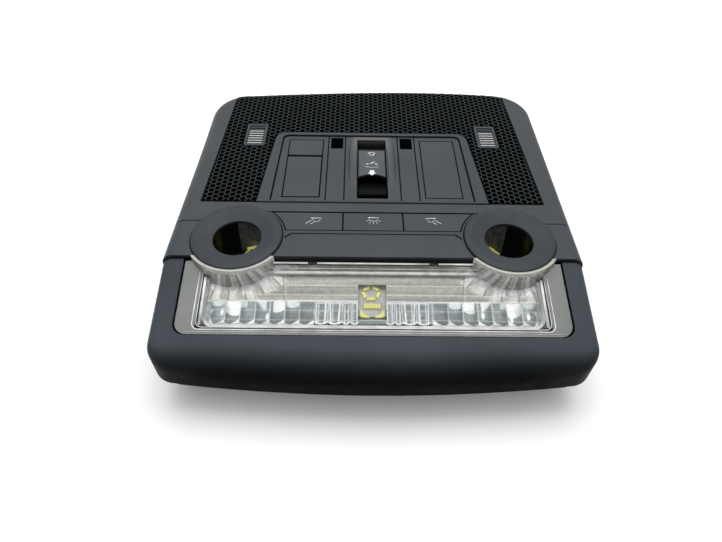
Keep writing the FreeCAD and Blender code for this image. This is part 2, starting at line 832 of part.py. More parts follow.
def make_optic_plate():
    """Clear plate whose front half carries narrow ribs in the middle and wide ones beside them."""
    half = f"{TRAY_HALF} - tray_wall - fit_gap"
    front = f"-({TRAY_FRONT} - tray_wall - fit_gap)"
    outline = tray_block("optic_outline", "tray_wall + fit_gap", f"{OPTIC_TOP} - optic_thick", "margin")
    plate = box("optic_flat", (f"-({half})", half), (front, f"-({TRAY_REAR} + tray_wall + fit_gap)"),
                (f"{OPTIC_TOP} - optic_thick", OPTIC_TOP))
    ribs = []
    for n in range(FLUTES_CENTRE):
        ribs.append(flute(f"narrow_rib_{n}", f"({n - (FLUTES_CENTRE - 1) / 2}) * flute_pitch", "flute_pitch"))
    first = f"{FLUTES_CENTRE / 2} * flute_pitch + facet_pitch / 2"
    for n in range(WIDE_RIBS):
        for side in ("", "-"):
            ribs.append(flute(f"wide_rib_{n}", f"{side}({first} + {n} * facet_pitch)", "facet_pitch"))
    limit = box("rib_limit", (f"-({half})", half), (front, f"{front} + flute_length"),
                (f"{OPTIC_TOP} - optic_thick", f"{OPTIC_TOP} + flute_height"))
    kept = common("ribs_kept", fuse("ribs", *ribs), limit)
    solid = common("optic_solid", fuse("optic_ribbed", plate, kept), outline)
    piece("optic_plate", cut("optic_plate", tilted(solid), collar_room("optic_collar_room", "lens_gap")))


def tray_block(name, inset, low, high):
    """Flat block inside the light opening, drawn in by a distance, with rounded front corners."""
    half = f"({TRAY_HALF} - ({inset}))"
    return prism(name, "XY_Plane", [
        (f"-{half}", f"-({TRAY_FRONT} - ({inset}))"),
        (half, f"-({TRAY_FRONT} - ({inset}))"),
        (half, f"-({TRAY_REAR} + ({inset}))"),
        (f"-{half}", f"-({TRAY_REAR} + ({inset}))"),
    ], low, high, [([0, 1], f"lens_corner - ({inset})")])


def make_reflector_tray():
    """Bright open tray with a saw-toothed row of facets each side of the light board's pad."""
    outer = tray_block("tray_outer", "0", f"{TRAY_FLOOR} - tray_wall", f"{LENS_FOOT} - touch_gap")
    inner = tray_block("tray_inner", "tray_wall", TRAY_FLOOR, "margin")
    start = "led_board_width / 2 + fit_gap"
    teeth = [(start, TRAY_FLOOR)]
    for n in range(FACETS):
        teeth.append((f"{start} + {n + 0.5} * facet_pitch", f"{TRAY_FLOOR} + facet_height"))
        teeth.append((f"{start} + {n + 1} * facet_pitch", TRAY_FLOOR))
    end = f"{start} + {FACETS} * facet_pitch"
    teeth += [(end, f"{TRAY_FLOOR} - tray_wall / 2"), (start, f"{TRAY_FLOOR} - tray_wall / 2")]
    facet_front = f"{TRAY_FRONT} - tray_wall / 2"
    facets = prism("tray_facets", "XZ_Plane", teeth, f"{facet_front} - facet_length", facet_front)
    pad_foot = f"{TRAY_FLOOR} - tray_wall / 2"
    pad = box("tray_pad", ("-led_board_width / 2", "led_board_width / 2"),
              ("-led_board_front", "-led_board_front + led_board_length"),
              (pad_foot, f"{LED_BOARD_TOP} - led_board_thick"))
    solid = fuse("tray_solid", cut("tray_shell", outer, inner), both("tray_facet_rows", facets), pad)
    piece("reflector_tray", cut("reflector_tray", tilted(solid), collar_room("tray_collar_room", "lens_gap")))
    board = box("led_board_flat", ("-led_board_width / 2", "led_board_width / 2"),
                ("-led_board_front", "-led_board_front + led_board_length"),
                (f"{LED_BOARD_TOP} - led_board_thick", LED_BOARD_TOP))
    piece("led_board", tilted(group("led_board", board)))


def make_dome_leds():
    """Light chips on the small board: five in a ring, a comb of five bars and two at its corners."""
    chips = []
    for n in range(RING_LEDS):
        angle = 90 + 360 * n / RING_LEDS
        x = f"led_circle * cos({angle})"
        y = f"-led_ring_y + led_circle * sin({angle})"
        chips.append(box(f"ring_chip_{n}", across(x, "led_size"),
                         across(y, "led_size"),
                         (LED_BOARD_TOP, f"{LED_BOARD_TOP} + led_height")))
    for n in range(COMB_LEDS):
        x = f"({n - (COMB_LEDS - 1) / 2}) * led_comb_pitch"
        chips.append(box(f"comb_chip_{n}", across(x, "led_size"),
                         ("-led_comb_y - led_size", "-led_comb_y + led_size"),
                         (LED_BOARD_TOP, f"{LED_BOARD_TOP} + led_height")))
    for side in ("-", ""):
        x = f"{side}led_corner_x"
        chips.append(box(f"corner_chip_{len(chips)}", (f"{x} - led_size", f"{x} + led_size"),
                         ("-led_corner_y - led_size / 2", "-led_corner_y + led_size / 2"),
                         (LED_BOARD_TOP, f"{LED_BOARD_TOP} + led_height")))
    piece("dome_leds", tilted(group("dome_leds", *chips)))


# Rear cover, grille and microphones


POCKET = "face_height - grille_depth"
POCKET_BACK = "face_height - grille_depth - wall"
HEXAGON_ROW = "(-grille_front + hexagon_pitch / sqrt(3) + {row} * hexagon_pitch * sqrt(3) / 2)"


def grille_outline(name, grow):
    """Upright block over the grille, which runs out over the rear edge."""
    rear = "rear_reach + margin"
    return prism(name, "XY_Plane", [
        (f"-(grille_half_front + ({grow}))", f"-(grille_front + ({grow}))"),
        (f"grille_half_front + ({grow})", f"-(grille_front + ({grow}))"),
        (f"grille_half_rear + ({grow})", rear),
        (f"-(grille_half_rear + ({grow}))", rear),
    ], "0", "face_height + margin")


def panel_outline(name, grow, low, high):
    """Upright block over the control panel's trapezoid, rounded at the rear corners."""
    return prism(name, "XY_Plane", [
        (f"-(panel_half_front + ({grow}))", f"-(panel_front + ({grow}))"),
        (f"panel_half_front + ({grow})", f"-(panel_front + ({grow}))"),
        (f"panel_half_rear + ({grow})", f"panel_rear + ({grow})"),
        (f"-(panel_half_rear + ({grow}))", f"panel_rear + ({grow})"),
    ], low, high, [([2, 3], "panel_corner")])


def mic_block(name, grow, low, high):
    """Upright block over the left microphone cover, with rounded corners."""
    half_x = f"(mic_width / 2 + ({grow}))"
    half_y = f"(mic_length / 2 + ({grow}))"
    return prism(name, "XY_Plane", [
        (f"-mic_x - {half_x}", f"mic_y - {half_y}"),
        (f"-mic_x + {half_x}", f"mic_y - {half_y}"),
        (f"-mic_x + {half_x}", f"mic_y + {half_y}"),
        (f"-mic_x - {half_x}", f"mic_y + {half_y}"),
    ], low, high, [([0, 1, 2, 3], "mic_border")])


def mic_post(name, radius, low, high):
    """Upright round bar under the left microphone cover."""
    return cylinder(name, ("-mic_x", "mic_y", low), radius, f"({high}) - ({low})")


def make_rear_cover():
    """Moulded shell with the grille's pocket, microphone sockets and screw bosses."""
    pocket = grille_outline("pocket_room", "fit_gap")
    face = rear_skin("pocket_face", "grille_depth")
    back = rear_skin("pocket_back", "grille_depth + wall", "margin")
    pocket_skin = cut("pocket_skin", face, back)
    floor = common("pocket_floor", pocket_skin, grille_outline("floor_room", "fit_gap + wall"))
    ring_room = both("ring_room", ring_post("ring_room_half", RING_ROOM, "0", "face_height + margin"))
    strips = cut("cover_strips", rear_shell, trim_zone("cover_front", "seam / 2"), ring_room, pocket)
    sockets = both("mic_sockets", mic_post("mic_socket", "capsule_radius + fit_gap + cup_wall",
                                           f"{POCKET_BACK} - capsule_height", f"{POCKET_BACK} + wall / 2"))
    bosses = []
    pilots = []
    for where, base in (("side", "housing_floor"), ("rear", "shelf_height")):
        foot = f"{base} + wall + touch_gap"
        bar = cylinder(f"{where}_boss", (f"-{where}_screw_x", SCREW_Y[where], foot), "boss_radius",
                       f"{POCKET_BACK} + wall / 2 - ({foot})")
        bosses.append(both(f"{where}_bosses", bar))
        hole = screw_hole(f"{where}_pilot", where, "screw_radius + touch_gap", foot)
        pilots.append(both(f"{where}_pilots", hole))
    body = fuse("cover_body", strips, floor, sockets, *bosses)
    capsule_bar = mic_post("capsule_room_half", "capsule_radius + fit_gap", "0", POCKET_BACK)
    capsule_room = both("capsule_room", capsule_bar)
    mic_holes = both("mic_holes", mic_post("mic_hole_half", "mic_hole", "0", "face_height"))
    panel_room = panel_outline("panel_room", "fit_gap", "0", "face_height + margin")
    piece("rear_cover", cut("rear_cover", body, panel_room, capsule_room, mic_holes, *pilots))


def hexagon_spots():
    """Places for hexagons, in half pitches across and rows along: on the flat face and on the rear roll."""
    pitch = SIZES["hexagon_pitch"]
    row_step = pitch * math.sqrt(3) / 2
    reach = pitch / math.sqrt(3)
    front = -SIZES["grille_front"]
    flat_end = SIZES["rear_reach"] - SIZES["rear_roll"]
    roll_end = flat_end + SIZES["rear_roll"] * math.pi / 2
    narrowing = SIZES["grille_half_rear"] - SIZES["grille_half_front"]
    count = int(2 * SIZES["grille_half_front"] / pitch)
    flat = []
    roll = {}
    for row in range(int((roll_end - front) / row_step)):
        y = front + reach + row * row_step
        half = SIZES["grille_half_front"] + narrowing * (y - front) / (SIZES["rear_reach"] - front)
        for step in range(-count, count + 1):
            x = abs(step) * pitch / 2
            in_panel = y < SIZES["panel_rear"] + reach and x < SIZES["panel_half_front"] + reach
            by_mic = abs(x - SIZES["mic_x"]) < SIZES["mic_width"] / 2 + reach
            by_mic = by_mic and abs(y - SIZES["mic_y"]) < SIZES["mic_length"] / 2 + reach
            if (step + row) % 2 or x + reach > half or in_panel or by_mic:
                continue
            if y + reach < flat_end:
                flat.append((step, row))
            else:
                roll.setdefault(row, []).append(step)
    return flat, roll


def hexagon(name, pitch, height):
    """Upright hexagonal bar with a corner to the rear."""
    bar = doc.addObject("Part::Prism", name)
    bar.Polygon = 6
    bar.Placement = Placement(Vector(), Rotation(Vector(0, 0, 1), 90))
    bind(bar, "Circumradius", f"({pitch} - hexagon_web) / sqrt(3)")
    bind(bar, "Height", height)
    return bar


def roll_hexagon(name, x, along):
    """Hexagonal bar square to the rear roll, at a distance along the face and on over the roll."""
    start = f"(sqrt(rear_bow ^ 2 - ({x}) ^ 2) - rear_bow + rear_reach - rear_roll)"
    turn = f"({along} - {start}) / rear_roll * 180 / pi"
    inner_pitch = "hexagon_pitch * (1 - grille_thick / rear_roll)"
    bar = group(name, hexagon(name + "_bar", inner_pitch, "rear_roll"))
    bar.Placement = Placement(Vector(), Rotation(Vector(-1, 0, 0), 1))
    bind(bar, "Placement.Rotation.Angle", turn)
    return place(bar, x, f"{start} + rear_roll / 2 * sin({turn})",
                 f"face_height - rear_roll + rear_roll / 2 * cos({turn})")


def make_grille():
    """Insert that follows the face and rolls over the rear edge, pierced by hexagons."""
    skin = cut("grille_skin", rear_outer, rear_skin("grille_back", "grille_thick", "margin"))
    sheet_part = common("grille_sheet", skin, grille_outline("grille_room", "0"))
    mics = both("mic_rooms", mic_block("mic_room", "fit_gap", "0", "face_height + margin"))
    panel = panel_outline("grille_panel_room", "fit_gap", "0", "face_height + margin")
    opened = cut("grille_open", sheet_part, panel, mics)
    flat, roll = hexagon_spots()
    cells = []
    for step, row in flat:
        cell = hexagon(f"cell_{len(cells)}", "hexagon_pitch", "grille_depth + margin")
        cells.append(place(cell, f"{step} * hexagon_pitch / 2", HEXAGON_ROW.format(row=row), POCKET))
    pierced = cut("grille_flat", opened, group("cells", *cells))
    for row, steps in roll.items():
        bars = []
        for step in steps:
            bars.append(roll_hexagon(f"roll_cell_{row}_{len(bars)}", f"{step} * hexagon_pitch / 2",
                                     HEXAGON_ROW.format(row=row)))
        pierced = cut(f"grille_roll_{row}", pierced, group(f"roll_cells_{row}", *bars))
    piece("grille", pierced)


def make_microphones():
    """Slotted cover on a felt pad, with the capsule in its socket below the pocket."""
    block = mic_block("mic_cover_block", "0", POCKET, "face_height + mic_rise")
    block = soften("mic_cover_soft", block, on_top(block))
    room_top = f"{POCKET} + filter_thick + touch_gap"
    x = ("-mic_x - mic_width / 2 + mic_border", "-mic_x + mic_width / 2 - mic_border")
    y = ("mic_y - mic_length / 2 + mic_border", "mic_y + mic_length / 2 - mic_border")
    room = box("filter_room", x, y, ("0", room_top))
    slots = []
    for n in range(MIC_SLOTS):
        middle = f"mic_y + ({n - (MIC_SLOTS - 1) / 2}) * mic_pitch"
        slots.append(box(f"mic_slot_{n}", x, across(middle, "mic_slot"),
                         ("0", "face_height + margin")))
    pair("mic_cover", cut("mic_cover_half", block, room, *slots))
    felt = box("mic_filter_half", (f"{x[0]} + touch_gap", f"{x[1]} - touch_gap"),
               (f"{y[0]} + touch_gap", f"{y[1]} - touch_gap"), (POCKET, f"{POCKET} + filter_thick"))
    pair("mic_filter", felt)
    pair("mic_capsule", mic_post("mic_capsule_half", "capsule_radius", f"{POCKET_BACK} - capsule_height",
                                 f"{POCKET_BACK} - touch_gap"))


# Control panel


INNER_FRONT = "-(panel_front - border_front)"
INNER_REAR = "panel_rear - border_rear"
HINGE_Y = "blank_split - flap_gap - knuckle"
HINGE_Z = f"{PLATE_TOP} - knuckle"
FLAP_X = ("-(blank_outer - flap_gap)", "-(blank_inner + flap_gap)")
WELL_X = ("-(blank_outer - well_side)", "-(blank_inner + well_side)")
WELL_Y = ("-(blank_front - well_front)", "blank_split")


def inner_outline(name, shrink, inner_edge, low, high):
    """Upright block inside the surround's border, from its left side to a line across it."""
    front = f"{INNER_FRONT} + ({shrink})"
    rear = f"{INNER_REAR} - ({shrink})"
    return prism(name, "XY_Plane", [
        (f"-(panel_half_front - border_front_side - ({shrink}))", front),
        (inner_edge[0], front),
        (inner_edge[1], rear),
        (f"-(panel_half_rear - border_rear_side - ({shrink}))", rear),
    ], low, high, [([3], "plate_corner")])


def make_panel_surround():
    """Tray with a raised border, openings for the switch, and the well of the call button."""
    block = panel_outline("surround_block", "0", FLOOR_FOOT, "face_height + panel_rise")
    block = soften("surround_soft", block, on_top(block), "panel_rise")
    half = inner_outline("surround_room", "0", ("0", "0"), PLATE_FOOT, "face_height + margin")
    slot = box("surround_slot", ("-slot_half", "slot_half"), ("-slot_front", "slot_rear"),
               ("0", "face_height"))
    well_foot = f"{FLOOR_FOOT} - well_depth"
    walls = box("well_walls", (f"{WELL_X[0]} - well_wall", f"{WELL_X[1]} + well_wall"),
                (f"{WELL_Y[0]} - well_wall", f"{WELL_Y[1]} + well_wall"), (well_foot, PLATE_FOOT))
    well = box("well_room", WELL_X, WELL_Y, ("0", "face_height"))
    body = fuse("surround_body", cut("surround_tray", block, both("surround_rooms", half)), walls)
    piece("panel_surround", cut("panel_surround", body, slot, well))


def make_plates():
    """Side plates, strips with their windows, blanks and the switch bezel, all lying in the tray."""
    line = "panel_line / 2"
    front = f"{INNER_FRONT} + panel_line"
    rear = f"{INNER_REAR} - panel_line"
    high = (PLATE_FOOT, PLATE_TOP)
    edge = f"-(strip_outer + {line})"
    side = inner_outline("side_plate", "panel_line", (edge, edge), *high)
    hole = box("blank_room", ("-blank_outer", "-blank_inner"), ("-blank_front", "blank_rear"),
               ("0", "face_height"))
    side = cut("side_plate_open", side, hole)
    side = soften("side_plate_soft", side, on_top(side))
    reach = ("-blank_outer - pin_reach - pin_clear", "-blank_inner + pin_reach + pin_clear")
    pin_room = cylinder("pin_room", (reach[0], HINGE_Y, HINGE_Z), "pin_radius + pin_clear",
                        f"{reach[1]} - ({reach[0]})", "x")
    pin_way = box("pin_way", reach,
                  (f"{HINGE_Y} - pin_radius - pin_clear", f"{HINGE_Y} + pin_radius + pin_clear"),
                  ("0", HINGE_Z))
    piece("panel_left", cut("panel_left", side, pin_room, pin_way))
    piece("panel_right", mirrored("panel_right", side))

    strip = box("strip_block", (f"-(strip_outer - {line})", f"-(strip_inner + {line})"), (front, rear), high)
    window_x = ("-window_outer", "-window_inner")
    window_y = ("window_front", "window_rear")
    strip = cut("strip_open", strip, box("window_room", window_x, window_y, ("0", "face_height")))
    pair("strip", soften("strip_soft", strip, on_top(strip)))
    pane = box("window_pane", (f"{window_x[0]} + touch_gap", f"{window_x[1]} - touch_gap"),
               (f"{window_y[0]} + touch_gap", f"{window_y[1]} - touch_gap"),
               (PLATE_FOOT, f"{PLATE_TOP} - window_recess"))
    pair("window", pane)

    blank_x = ("-(blank_outer - fit_gap)", "-(blank_inner + fit_gap)")
    upper = box("blank_upper", blank_x, ("blank_split", "blank_rear - fit_gap"), high)
    piece("blank_left", soften("blank_left", upper, on_top(upper)))
    whole = box("blank_whole", blank_x, ("-(blank_front - fit_gap)", "blank_rear - fit_gap"), high)
    piece("blank_right", mirrored("blank_right", soften("blank_soft", whole, on_top(whole))))

    bezel = box("switch_plate", (f"-(strip_inner - {line})", f"strip_inner - {line}"), (front, rear), high)
    slot = box("switch_slot", ("-slot_half", "slot_half"), ("-slot_front", "slot_rear"), ("0", "face_height"))
    bezel = cut("switch_plate_open", bezel, slot)
    bezel = soften("switch_plate_soft", bezel, on_top(bezel))
    guard_radius = "(guard_length * guard_length / 4 + guard_height * guard_height) / (2 * guard_height)"
    crown_axis = f"{PLATE_TOP} + guard_height - {guard_radius}"
    crown = cylinder("guard_crown", ("-strip_inner", "guard_y", crown_axis), guard_radius, "strip_inner", "x")
    guard = box("guard_block", ("-(slot_half + guard_inset + guard_width)", "-(slot_half + guard_inset)"),
                ("guard_y - guard_length / 2", "guard_y + guard_length / 2"),
                (f"{PLATE_TOP} - wall / 2", f"{PLATE_TOP} + guard_height"))
    guards = both("guards", common("guard_half", guard, crown))
    piece("switch_bezel", fuse("switch_bezel", bezel, guards))


def make_flap():
    """Flap on a round knuckle with a pin at each end."""
    leaf = box("flap_leaf", FLAP_X, ("-(blank_front - flap_gap)", HINGE_Y),
               (f"{PLATE_TOP} - flap_thick", PLATE_TOP))
    knuckle = cylinder("flap_knuckle", (FLAP_X[0], HINGE_Y, HINGE_Z), "knuckle",
                       f"{FLAP_X[1]} - ({FLAP_X[0]})", "x")
    pins = cylinder("flap_pins", ("-blank_outer - pin_reach", HINGE_Y, HINGE_Z), "pin_radius",
                    "blank_outer - blank_inner + 2 * pin_reach", "x")
    piece("call_flap", fuse("call_flap", leaf, knuckle, pins))


def make_call_button():
    """Button in the well under the flap, on a stem like the light buttons'."""
    top = f"{PLATE_TOP} - flap_thick - call_top"
    cap = box("call_cap", (f"{WELL_X[0]} + fit_gap", f"{WELL_X[1]} - fit_gap"),
              (f"{WELL_Y[0]} + fit_gap", f"{HINGE_Y} - knuckle - fit_gap"), (f"{top} - call_thick", top))
    cap = soften("call_cap_soft", cap, on_top(cap))
    stem = box("call_stem", across(CALL_X, "stem_width"),
               across(CALL_Y, "stem_depth"), (STEM_FOOT, f"{top} - call_thick"))
    piece("call_button", fuse("call_button", cap, stem))


# Roof switch


SLIDE_MIDDLE = "(slot_rear - slot_front) / 2"
KNOB_TOP = f"{PLATE_TOP} - knob_sink"
KNOB_FOOT = f"{KNOB_TOP} - knob_height"
SLED_TOP = f"{KNOB_FOOT} - knob_travel - fit_gap"
SLED_FOOT = f"{SLED_TOP} - sled_thick"


def around(half):
    """Limits along the slide, each side of its middle."""
    return (f"{SLIDE_MIDDLE} - ({half})", f"{SLIDE_MIDDLE} + ({half})")


def make_roof_switch():
    """Knob with a finger scoop, its sliding carriage, and the channel that the carriage runs in."""
    knob_half = "(slot_rear + slot_front) / 2 - slide_travel - fit_gap"
    front, rear = around(knob_half)
    side = "slot_half - knob_side_gap"
    block = box("knob_block", (f"-({side})", side), (front, rear), (KNOB_FOOT, KNOB_TOP))
    block = soften("knob_soft", block, on_top(block), "knob_round")
    tail = prism("knob_tail_cut", "YZ_Plane", [
        (f"{rear} - knob_tail", KNOB_TOP),
        (f"{rear} + knob_tail", f"{KNOB_TOP} - 2 * knob_tail_drop"),
        (f"{rear} + knob_tail", f"{KNOB_TOP} + margin"),
        (f"{rear} - knob_tail", f"{KNOB_TOP} + margin"),
    ], "-slot_half", "slot_half")
    arch = cylinder("scoop_arch", ("0", "scoop_rear - scoop_radius", KNOB_FOOT), "scoop_radius",
                    "knob_height + margin")
    ramp = prism("scoop_ramp", "YZ_Plane", [
        ("scoop_front", KNOB_TOP),
        ("scoop_rear", f"{KNOB_TOP} - scoop_depth"),
        ("scoop_rear", f"{KNOB_TOP} + margin"),
        ("scoop_front", f"{KNOB_TOP} + margin"),
    ], "-slot_half", "slot_half")
    post = box("knob_post", ("-post_half", "post_half"), around("post_length / 2"),
               (f"{KNOB_FOOT} - post_depth", KNOB_FOOT))
    shaped = cut("knob_shaped", block, tail, common("scoop", arch, ramp))
    piece("switch_knob", fuse("switch_knob", shaped, post))

    sled = box("sled_block", ("-sled_half", "sled_half"), around("sled_length / 2"), (SLED_FOOT, SLED_TOP))
    socket = box("sled_socket", ("-post_half - sled_gap", "post_half + sled_gap"),
                 around("post_length / 2 + sled_gap"), (f"{SLED_FOOT} + sled_web", "face_height"))
    piece("switch_carriage", cut("switch_carriage", sled, socket))

    inner_half = "(slot_rear + slot_front) / 2"
    channel_foot = f"{SLED_FOOT} - sled_gap"
    case = box("channel_case",
               ("-(sled_half + sled_gap + channel_wall)", "sled_half + sled_gap + channel_wall"),
               around(f"{inner_half} + channel_wall"),
               (f"{channel_foot} - channel_floor", f"{FLOOR_FOOT} - touch_gap"))
    room = box("channel_room", ("-(sled_half + sled_gap)", "sled_half + sled_gap"), around(inner_half),
               (channel_foot, "face_height"))
    piece("switch_housing", cut("switch_housing", case, room))


# Board, housing and fastenings


SCREWS = (("front", "housing_floor"), ("side", "housing_floor"), ("rear", "shelf_height"))


def make_board():
    """Circuit board, wide under the lamps and narrower under the control panel, with its parts."""
    board = prism("circuit_board", "XY_Plane", [
        ("-board_half_front", "-board_front"),
        ("board_half_front", "-board_front"),
        ("board_half_front", "-board_neck"),
        ("board_half_rear", "-board_neck"),
        ("board_half_rear", "board_rear"),
        ("-board_half_rear", "board_rear"),
        ("-board_half_rear", "-board_neck"),
        ("-board_half_front", "-board_neck"),
    ], BOARD_FOOT, BOARD_TOP)
    piece("circuit_board", board)
    chips = []
    spots = (("chip_x", "0"), ("chip_x", "2 * chip_size"), ("0", "-button_front - chip_size"))
    for n, (x, y) in enumerate(spots):
        chips.append(box(f"chip_{n}", across(x, "chip_size"),
                         across(y, "chip_size"), (BOARD_TOP, f"{BOARD_TOP} + chip_height")))
    piece("board_chips", group("board_chips", *chips))

    foot = "housing_floor + wall + touch_gap"
    case = box("header_case", ("-header_half", "header_half"), ("header_front", "header_rear"),
               (foot, BOARD_FOOT))
    inside = box("header_room", ("-header_half + header_wall", "header_half - header_wall"),
                 ("header_rear - socket_depth", "header_rear + margin"),
                 (f"{foot} + header_wall", f"{BOARD_FOOT} - header_wall"))
    piece("connector_header", cut("connector_header", case, inside))
    contacts = []
    for n in range(CONTACTS_PER_ROW):
        x = f"({n - (CONTACTS_PER_ROW - 1) / 2}) * contact_pitch"
        for side in ("-", "+"):
            z = f"({foot} + {BOARD_FOOT}) / 2 {side} contact_row"
            contacts.append(box(f"contact_{len(contacts)}", across(x, "contact_size"),
                                ("header_rear - socket_depth", "header_rear - socket_depth + contact_length"),
                                across(z, "contact_size")))
    piece("connector_pins", group("connector_pins", *contacts))


def housing_profile(name, offset):
    """Side view of the housing: deep under the lamps, shallow at the rear, sloped at the front rim."""
    front = "-(front_reach + margin)"
    rear = "rear_reach + margin"
    rim = f"face_height - housing_rim + 2 * ({offset})"
    fall = "(front_reach + margin - trim_front) * tan(slope)"
    return prism(name, "YZ_Plane", [
        (front, f"housing_floor + ({offset})"),
        (f"housing_step - ({offset})", f"housing_floor + ({offset})"),
        (f"housing_step - ({offset})", f"shelf_height + ({offset})"),
        (rear, f"shelf_height + ({offset})"),
        (rear, rim),
        ("-trim_front", rim),
        (front, f"{rim} - {fall}"),
    ], "-width_front", "width_front")


def make_housing():
    """Moulded back: a stepped tray with a flat-bottomed sump, board pillars and screw holes."""
    around_outside = plan("housing_plan", "housing_inset")[0]
    around_inside = plan("housing_inside", "housing_inset + wall")[0]
    outer = common("housing_outer", around_outside, housing_profile("housing_side", "0"))
    inner = common("housing_inner", around_inside, housing_profile("housing_inner_side", "wall"))
    sump = box("sump", ("-sump_half", "sump_half"), ("-sump_front", "sump_rear"),
               ("0", "housing_floor + wall / 2"))
    sump_room = box("sump_room", ("-sump_half + wall", "sump_half - wall"),
                    ("-sump_front + wall", "sump_rear - wall"), ("wall", "housing_floor + 2 * wall"))
    pillars = []
    for n, y in enumerate(("-pillar_front", "pillar_rear")):
        bar = cylinder(f"pillar_{n}", ("-pillar_x", y, "wall / 2"), "pillar_radius",
                       f"{BOARD_FOOT} - wall / 2")
        pillars.append(both(f"pillars_{n}", bar))
    wall_slot = box("trim_wall_slot", ("-width_front", "width_front"),
                    ("-trim_front - fit_gap", "-trim_front + wall + fit_gap"),
                    ("face_height - skirt - fit_gap", "face_height"))
    hollow = cut("housing_hollow", fuse("housing_solid", outer, sump), inner, sump_room, wall_slot)
    socket = box("header_way", ("-header_half - fit_gap", "header_half + fit_gap"),
                 ("housing_step - 2 * wall", "housing_step + wall"),
                 ("housing_floor + wall", f"{BOARD_FOOT} + fit_gap"))
    holes = []
    for where, base in SCREWS:
        hole = screw_hole(f"{where}_hole", where, "screw_hole", f"{base} - wall")
        holes.append(both(f"{where}_holes", hole))
    piece("rear_housing", cut("rear_housing", fuse("housing_filled", hollow, *pillars), socket, *holes))


def make_screws():
    """Six screws, driven from the back into the bosses of the covers."""
    screws = []
    for where, base in SCREWS:
        axis = (f"-{where}_screw_x", SCREW_Y[where])
        head = cylinder(f"{where}_head", (*axis, f"{base} - head_height"), "screw_head", "head_height")
        shank = cylinder(f"{where}_shank", (*axis, base), "screw_radius", "screw_grip")
        screw = fuse(f"{where}_screw", head, shank)
        screws += [screw, mirrored(f"{where}_screw_other", screw)]
    piece("housing_screws", group("housing_screws", *screws))


def make_clips():
    """Bent spring clips on the housing's sides, which hold the console in the roof."""
    clips = []
    for where, y in (("front", "-clip_front"), ("rear", "clip_rear")):
        share = f"({y} + front_reach + margin) / (front_reach + rear_reach + 2 * margin)"
        half = f"width_front / 2 - {share} * (width_front - width_rear) / 2 - housing_inset"
        back = f"-({half}) - clip_gap"
        low = "clip_foot"
        high = "clip_foot + clip_height"
        clip = prism(f"{where}_clip", "XZ_Plane", [
            (back, low),
            (back, high),
            (f"{back} - clip_bulge", f"{low} + clip_bend"),
            (f"{back} - clip_bulge / 2", low),
            (f"{back} - clip_bulge / 2 + clip_metal", low),
            (f"{back} - clip_bulge + 2 * clip_metal", f"{low} + clip_bend"),
            (f"{back} - clip_metal", f"{high} - clip_throat"),
            (f"{back} - clip_metal", low),
        ], f"-({y}) - clip_width / 2", f"-({y}) + clip_width / 2")
        clips += [clip, mirrored(f"{where}_clip_other", clip)]
    piece("spring_clips", group("spring_clips", *clips))


make_rear_cover()
make_grille()
make_microphones()
make_centre_trim()
make_front_bezel()
make_rings()
make_reading_lamps()
make_buttons()
make_tact_switches()
make_lens()
make_optic_plate()
make_reflector_tray()
make_dome_leds()
make_panel_surround()
make_plates()
make_flap()
make_call_button()
make_roof_switch()
make_board()
make_housing()
make_screws()
make_clips()

doc.recompute()
failed = [item.Name for item in doc.Objects if {"Invalid", "Error"} & set(item.State)]
for item in PIECES:
    if item.Shape.isNull() or not item.Shape.isValid() or not item.Shape.Solids:
        failed.append(item.Label)
if failed:
    raise RuntimeError("not built: " + ", ".join(failed))

os.makedirs("parts", exist_ok=True)
for item in PIECES:
    item.Shape.exportStep(os.path.join("parts", item.Label + ".step"))
print(len(PIECES), "sub-parts written")
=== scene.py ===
import math
import random

import bpy
import numpy as np
from mathutils import Matrix, Vector


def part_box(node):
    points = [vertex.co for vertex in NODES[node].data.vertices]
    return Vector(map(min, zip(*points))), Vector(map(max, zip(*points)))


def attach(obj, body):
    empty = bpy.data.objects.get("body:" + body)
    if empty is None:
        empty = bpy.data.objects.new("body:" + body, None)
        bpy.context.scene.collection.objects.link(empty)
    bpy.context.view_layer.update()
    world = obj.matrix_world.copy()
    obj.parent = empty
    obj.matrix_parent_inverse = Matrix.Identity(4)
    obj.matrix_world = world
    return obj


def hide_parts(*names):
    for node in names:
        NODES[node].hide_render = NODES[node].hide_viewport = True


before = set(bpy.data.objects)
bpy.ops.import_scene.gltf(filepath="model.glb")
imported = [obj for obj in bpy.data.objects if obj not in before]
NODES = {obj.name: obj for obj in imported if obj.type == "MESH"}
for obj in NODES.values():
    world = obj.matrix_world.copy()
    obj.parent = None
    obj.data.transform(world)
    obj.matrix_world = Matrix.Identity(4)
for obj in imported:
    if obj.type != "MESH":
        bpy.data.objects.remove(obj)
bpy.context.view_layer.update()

MM = 0.001

# Photograph's camera, in the row's frame
IMAGE_WIDTH = 722
FOCAL_PIXELS = 541.86
SENSOR_MM = 36.0
CAMERA_MM = (-8.57, -226.67, 238.79)
CAMERA_PITCH = 47.986
CAMERA_YAW = -0.816
CAMERA_ROLL = 1.170

# Sizes repeated from the part's source, in millimetres
FACE = 50.0
SLOPE = math.radians(13.0)
SLOPE_START = (-47.5, 48.2)
RING_X = 67.7
RING_Y = -34.4
REAR_REACH = 110.0
REAR_BOW = 800.0
REAR_CORNER = 24.0
REAR_ROLL = 12.0
SIDE_ROLL = 6.0
SKIRT = 18.0
HALF_REAR = 103.0
OPENING_HALF = 81.2
OPENING_FRONT = -82.4


def slope(u, v, w):
    """Row-frame point, in metres, from millimetres across, up and out of the lens's sloping plane."""
    y = SLOPE_START[0] + v * math.cos(SLOPE) - w * math.sin(SLOPE)
    z = SLOPE_START[1] + v * math.sin(SLOPE) + w * math.cos(SLOPE)
    return Vector((u, y, z)) * MM


# Materials


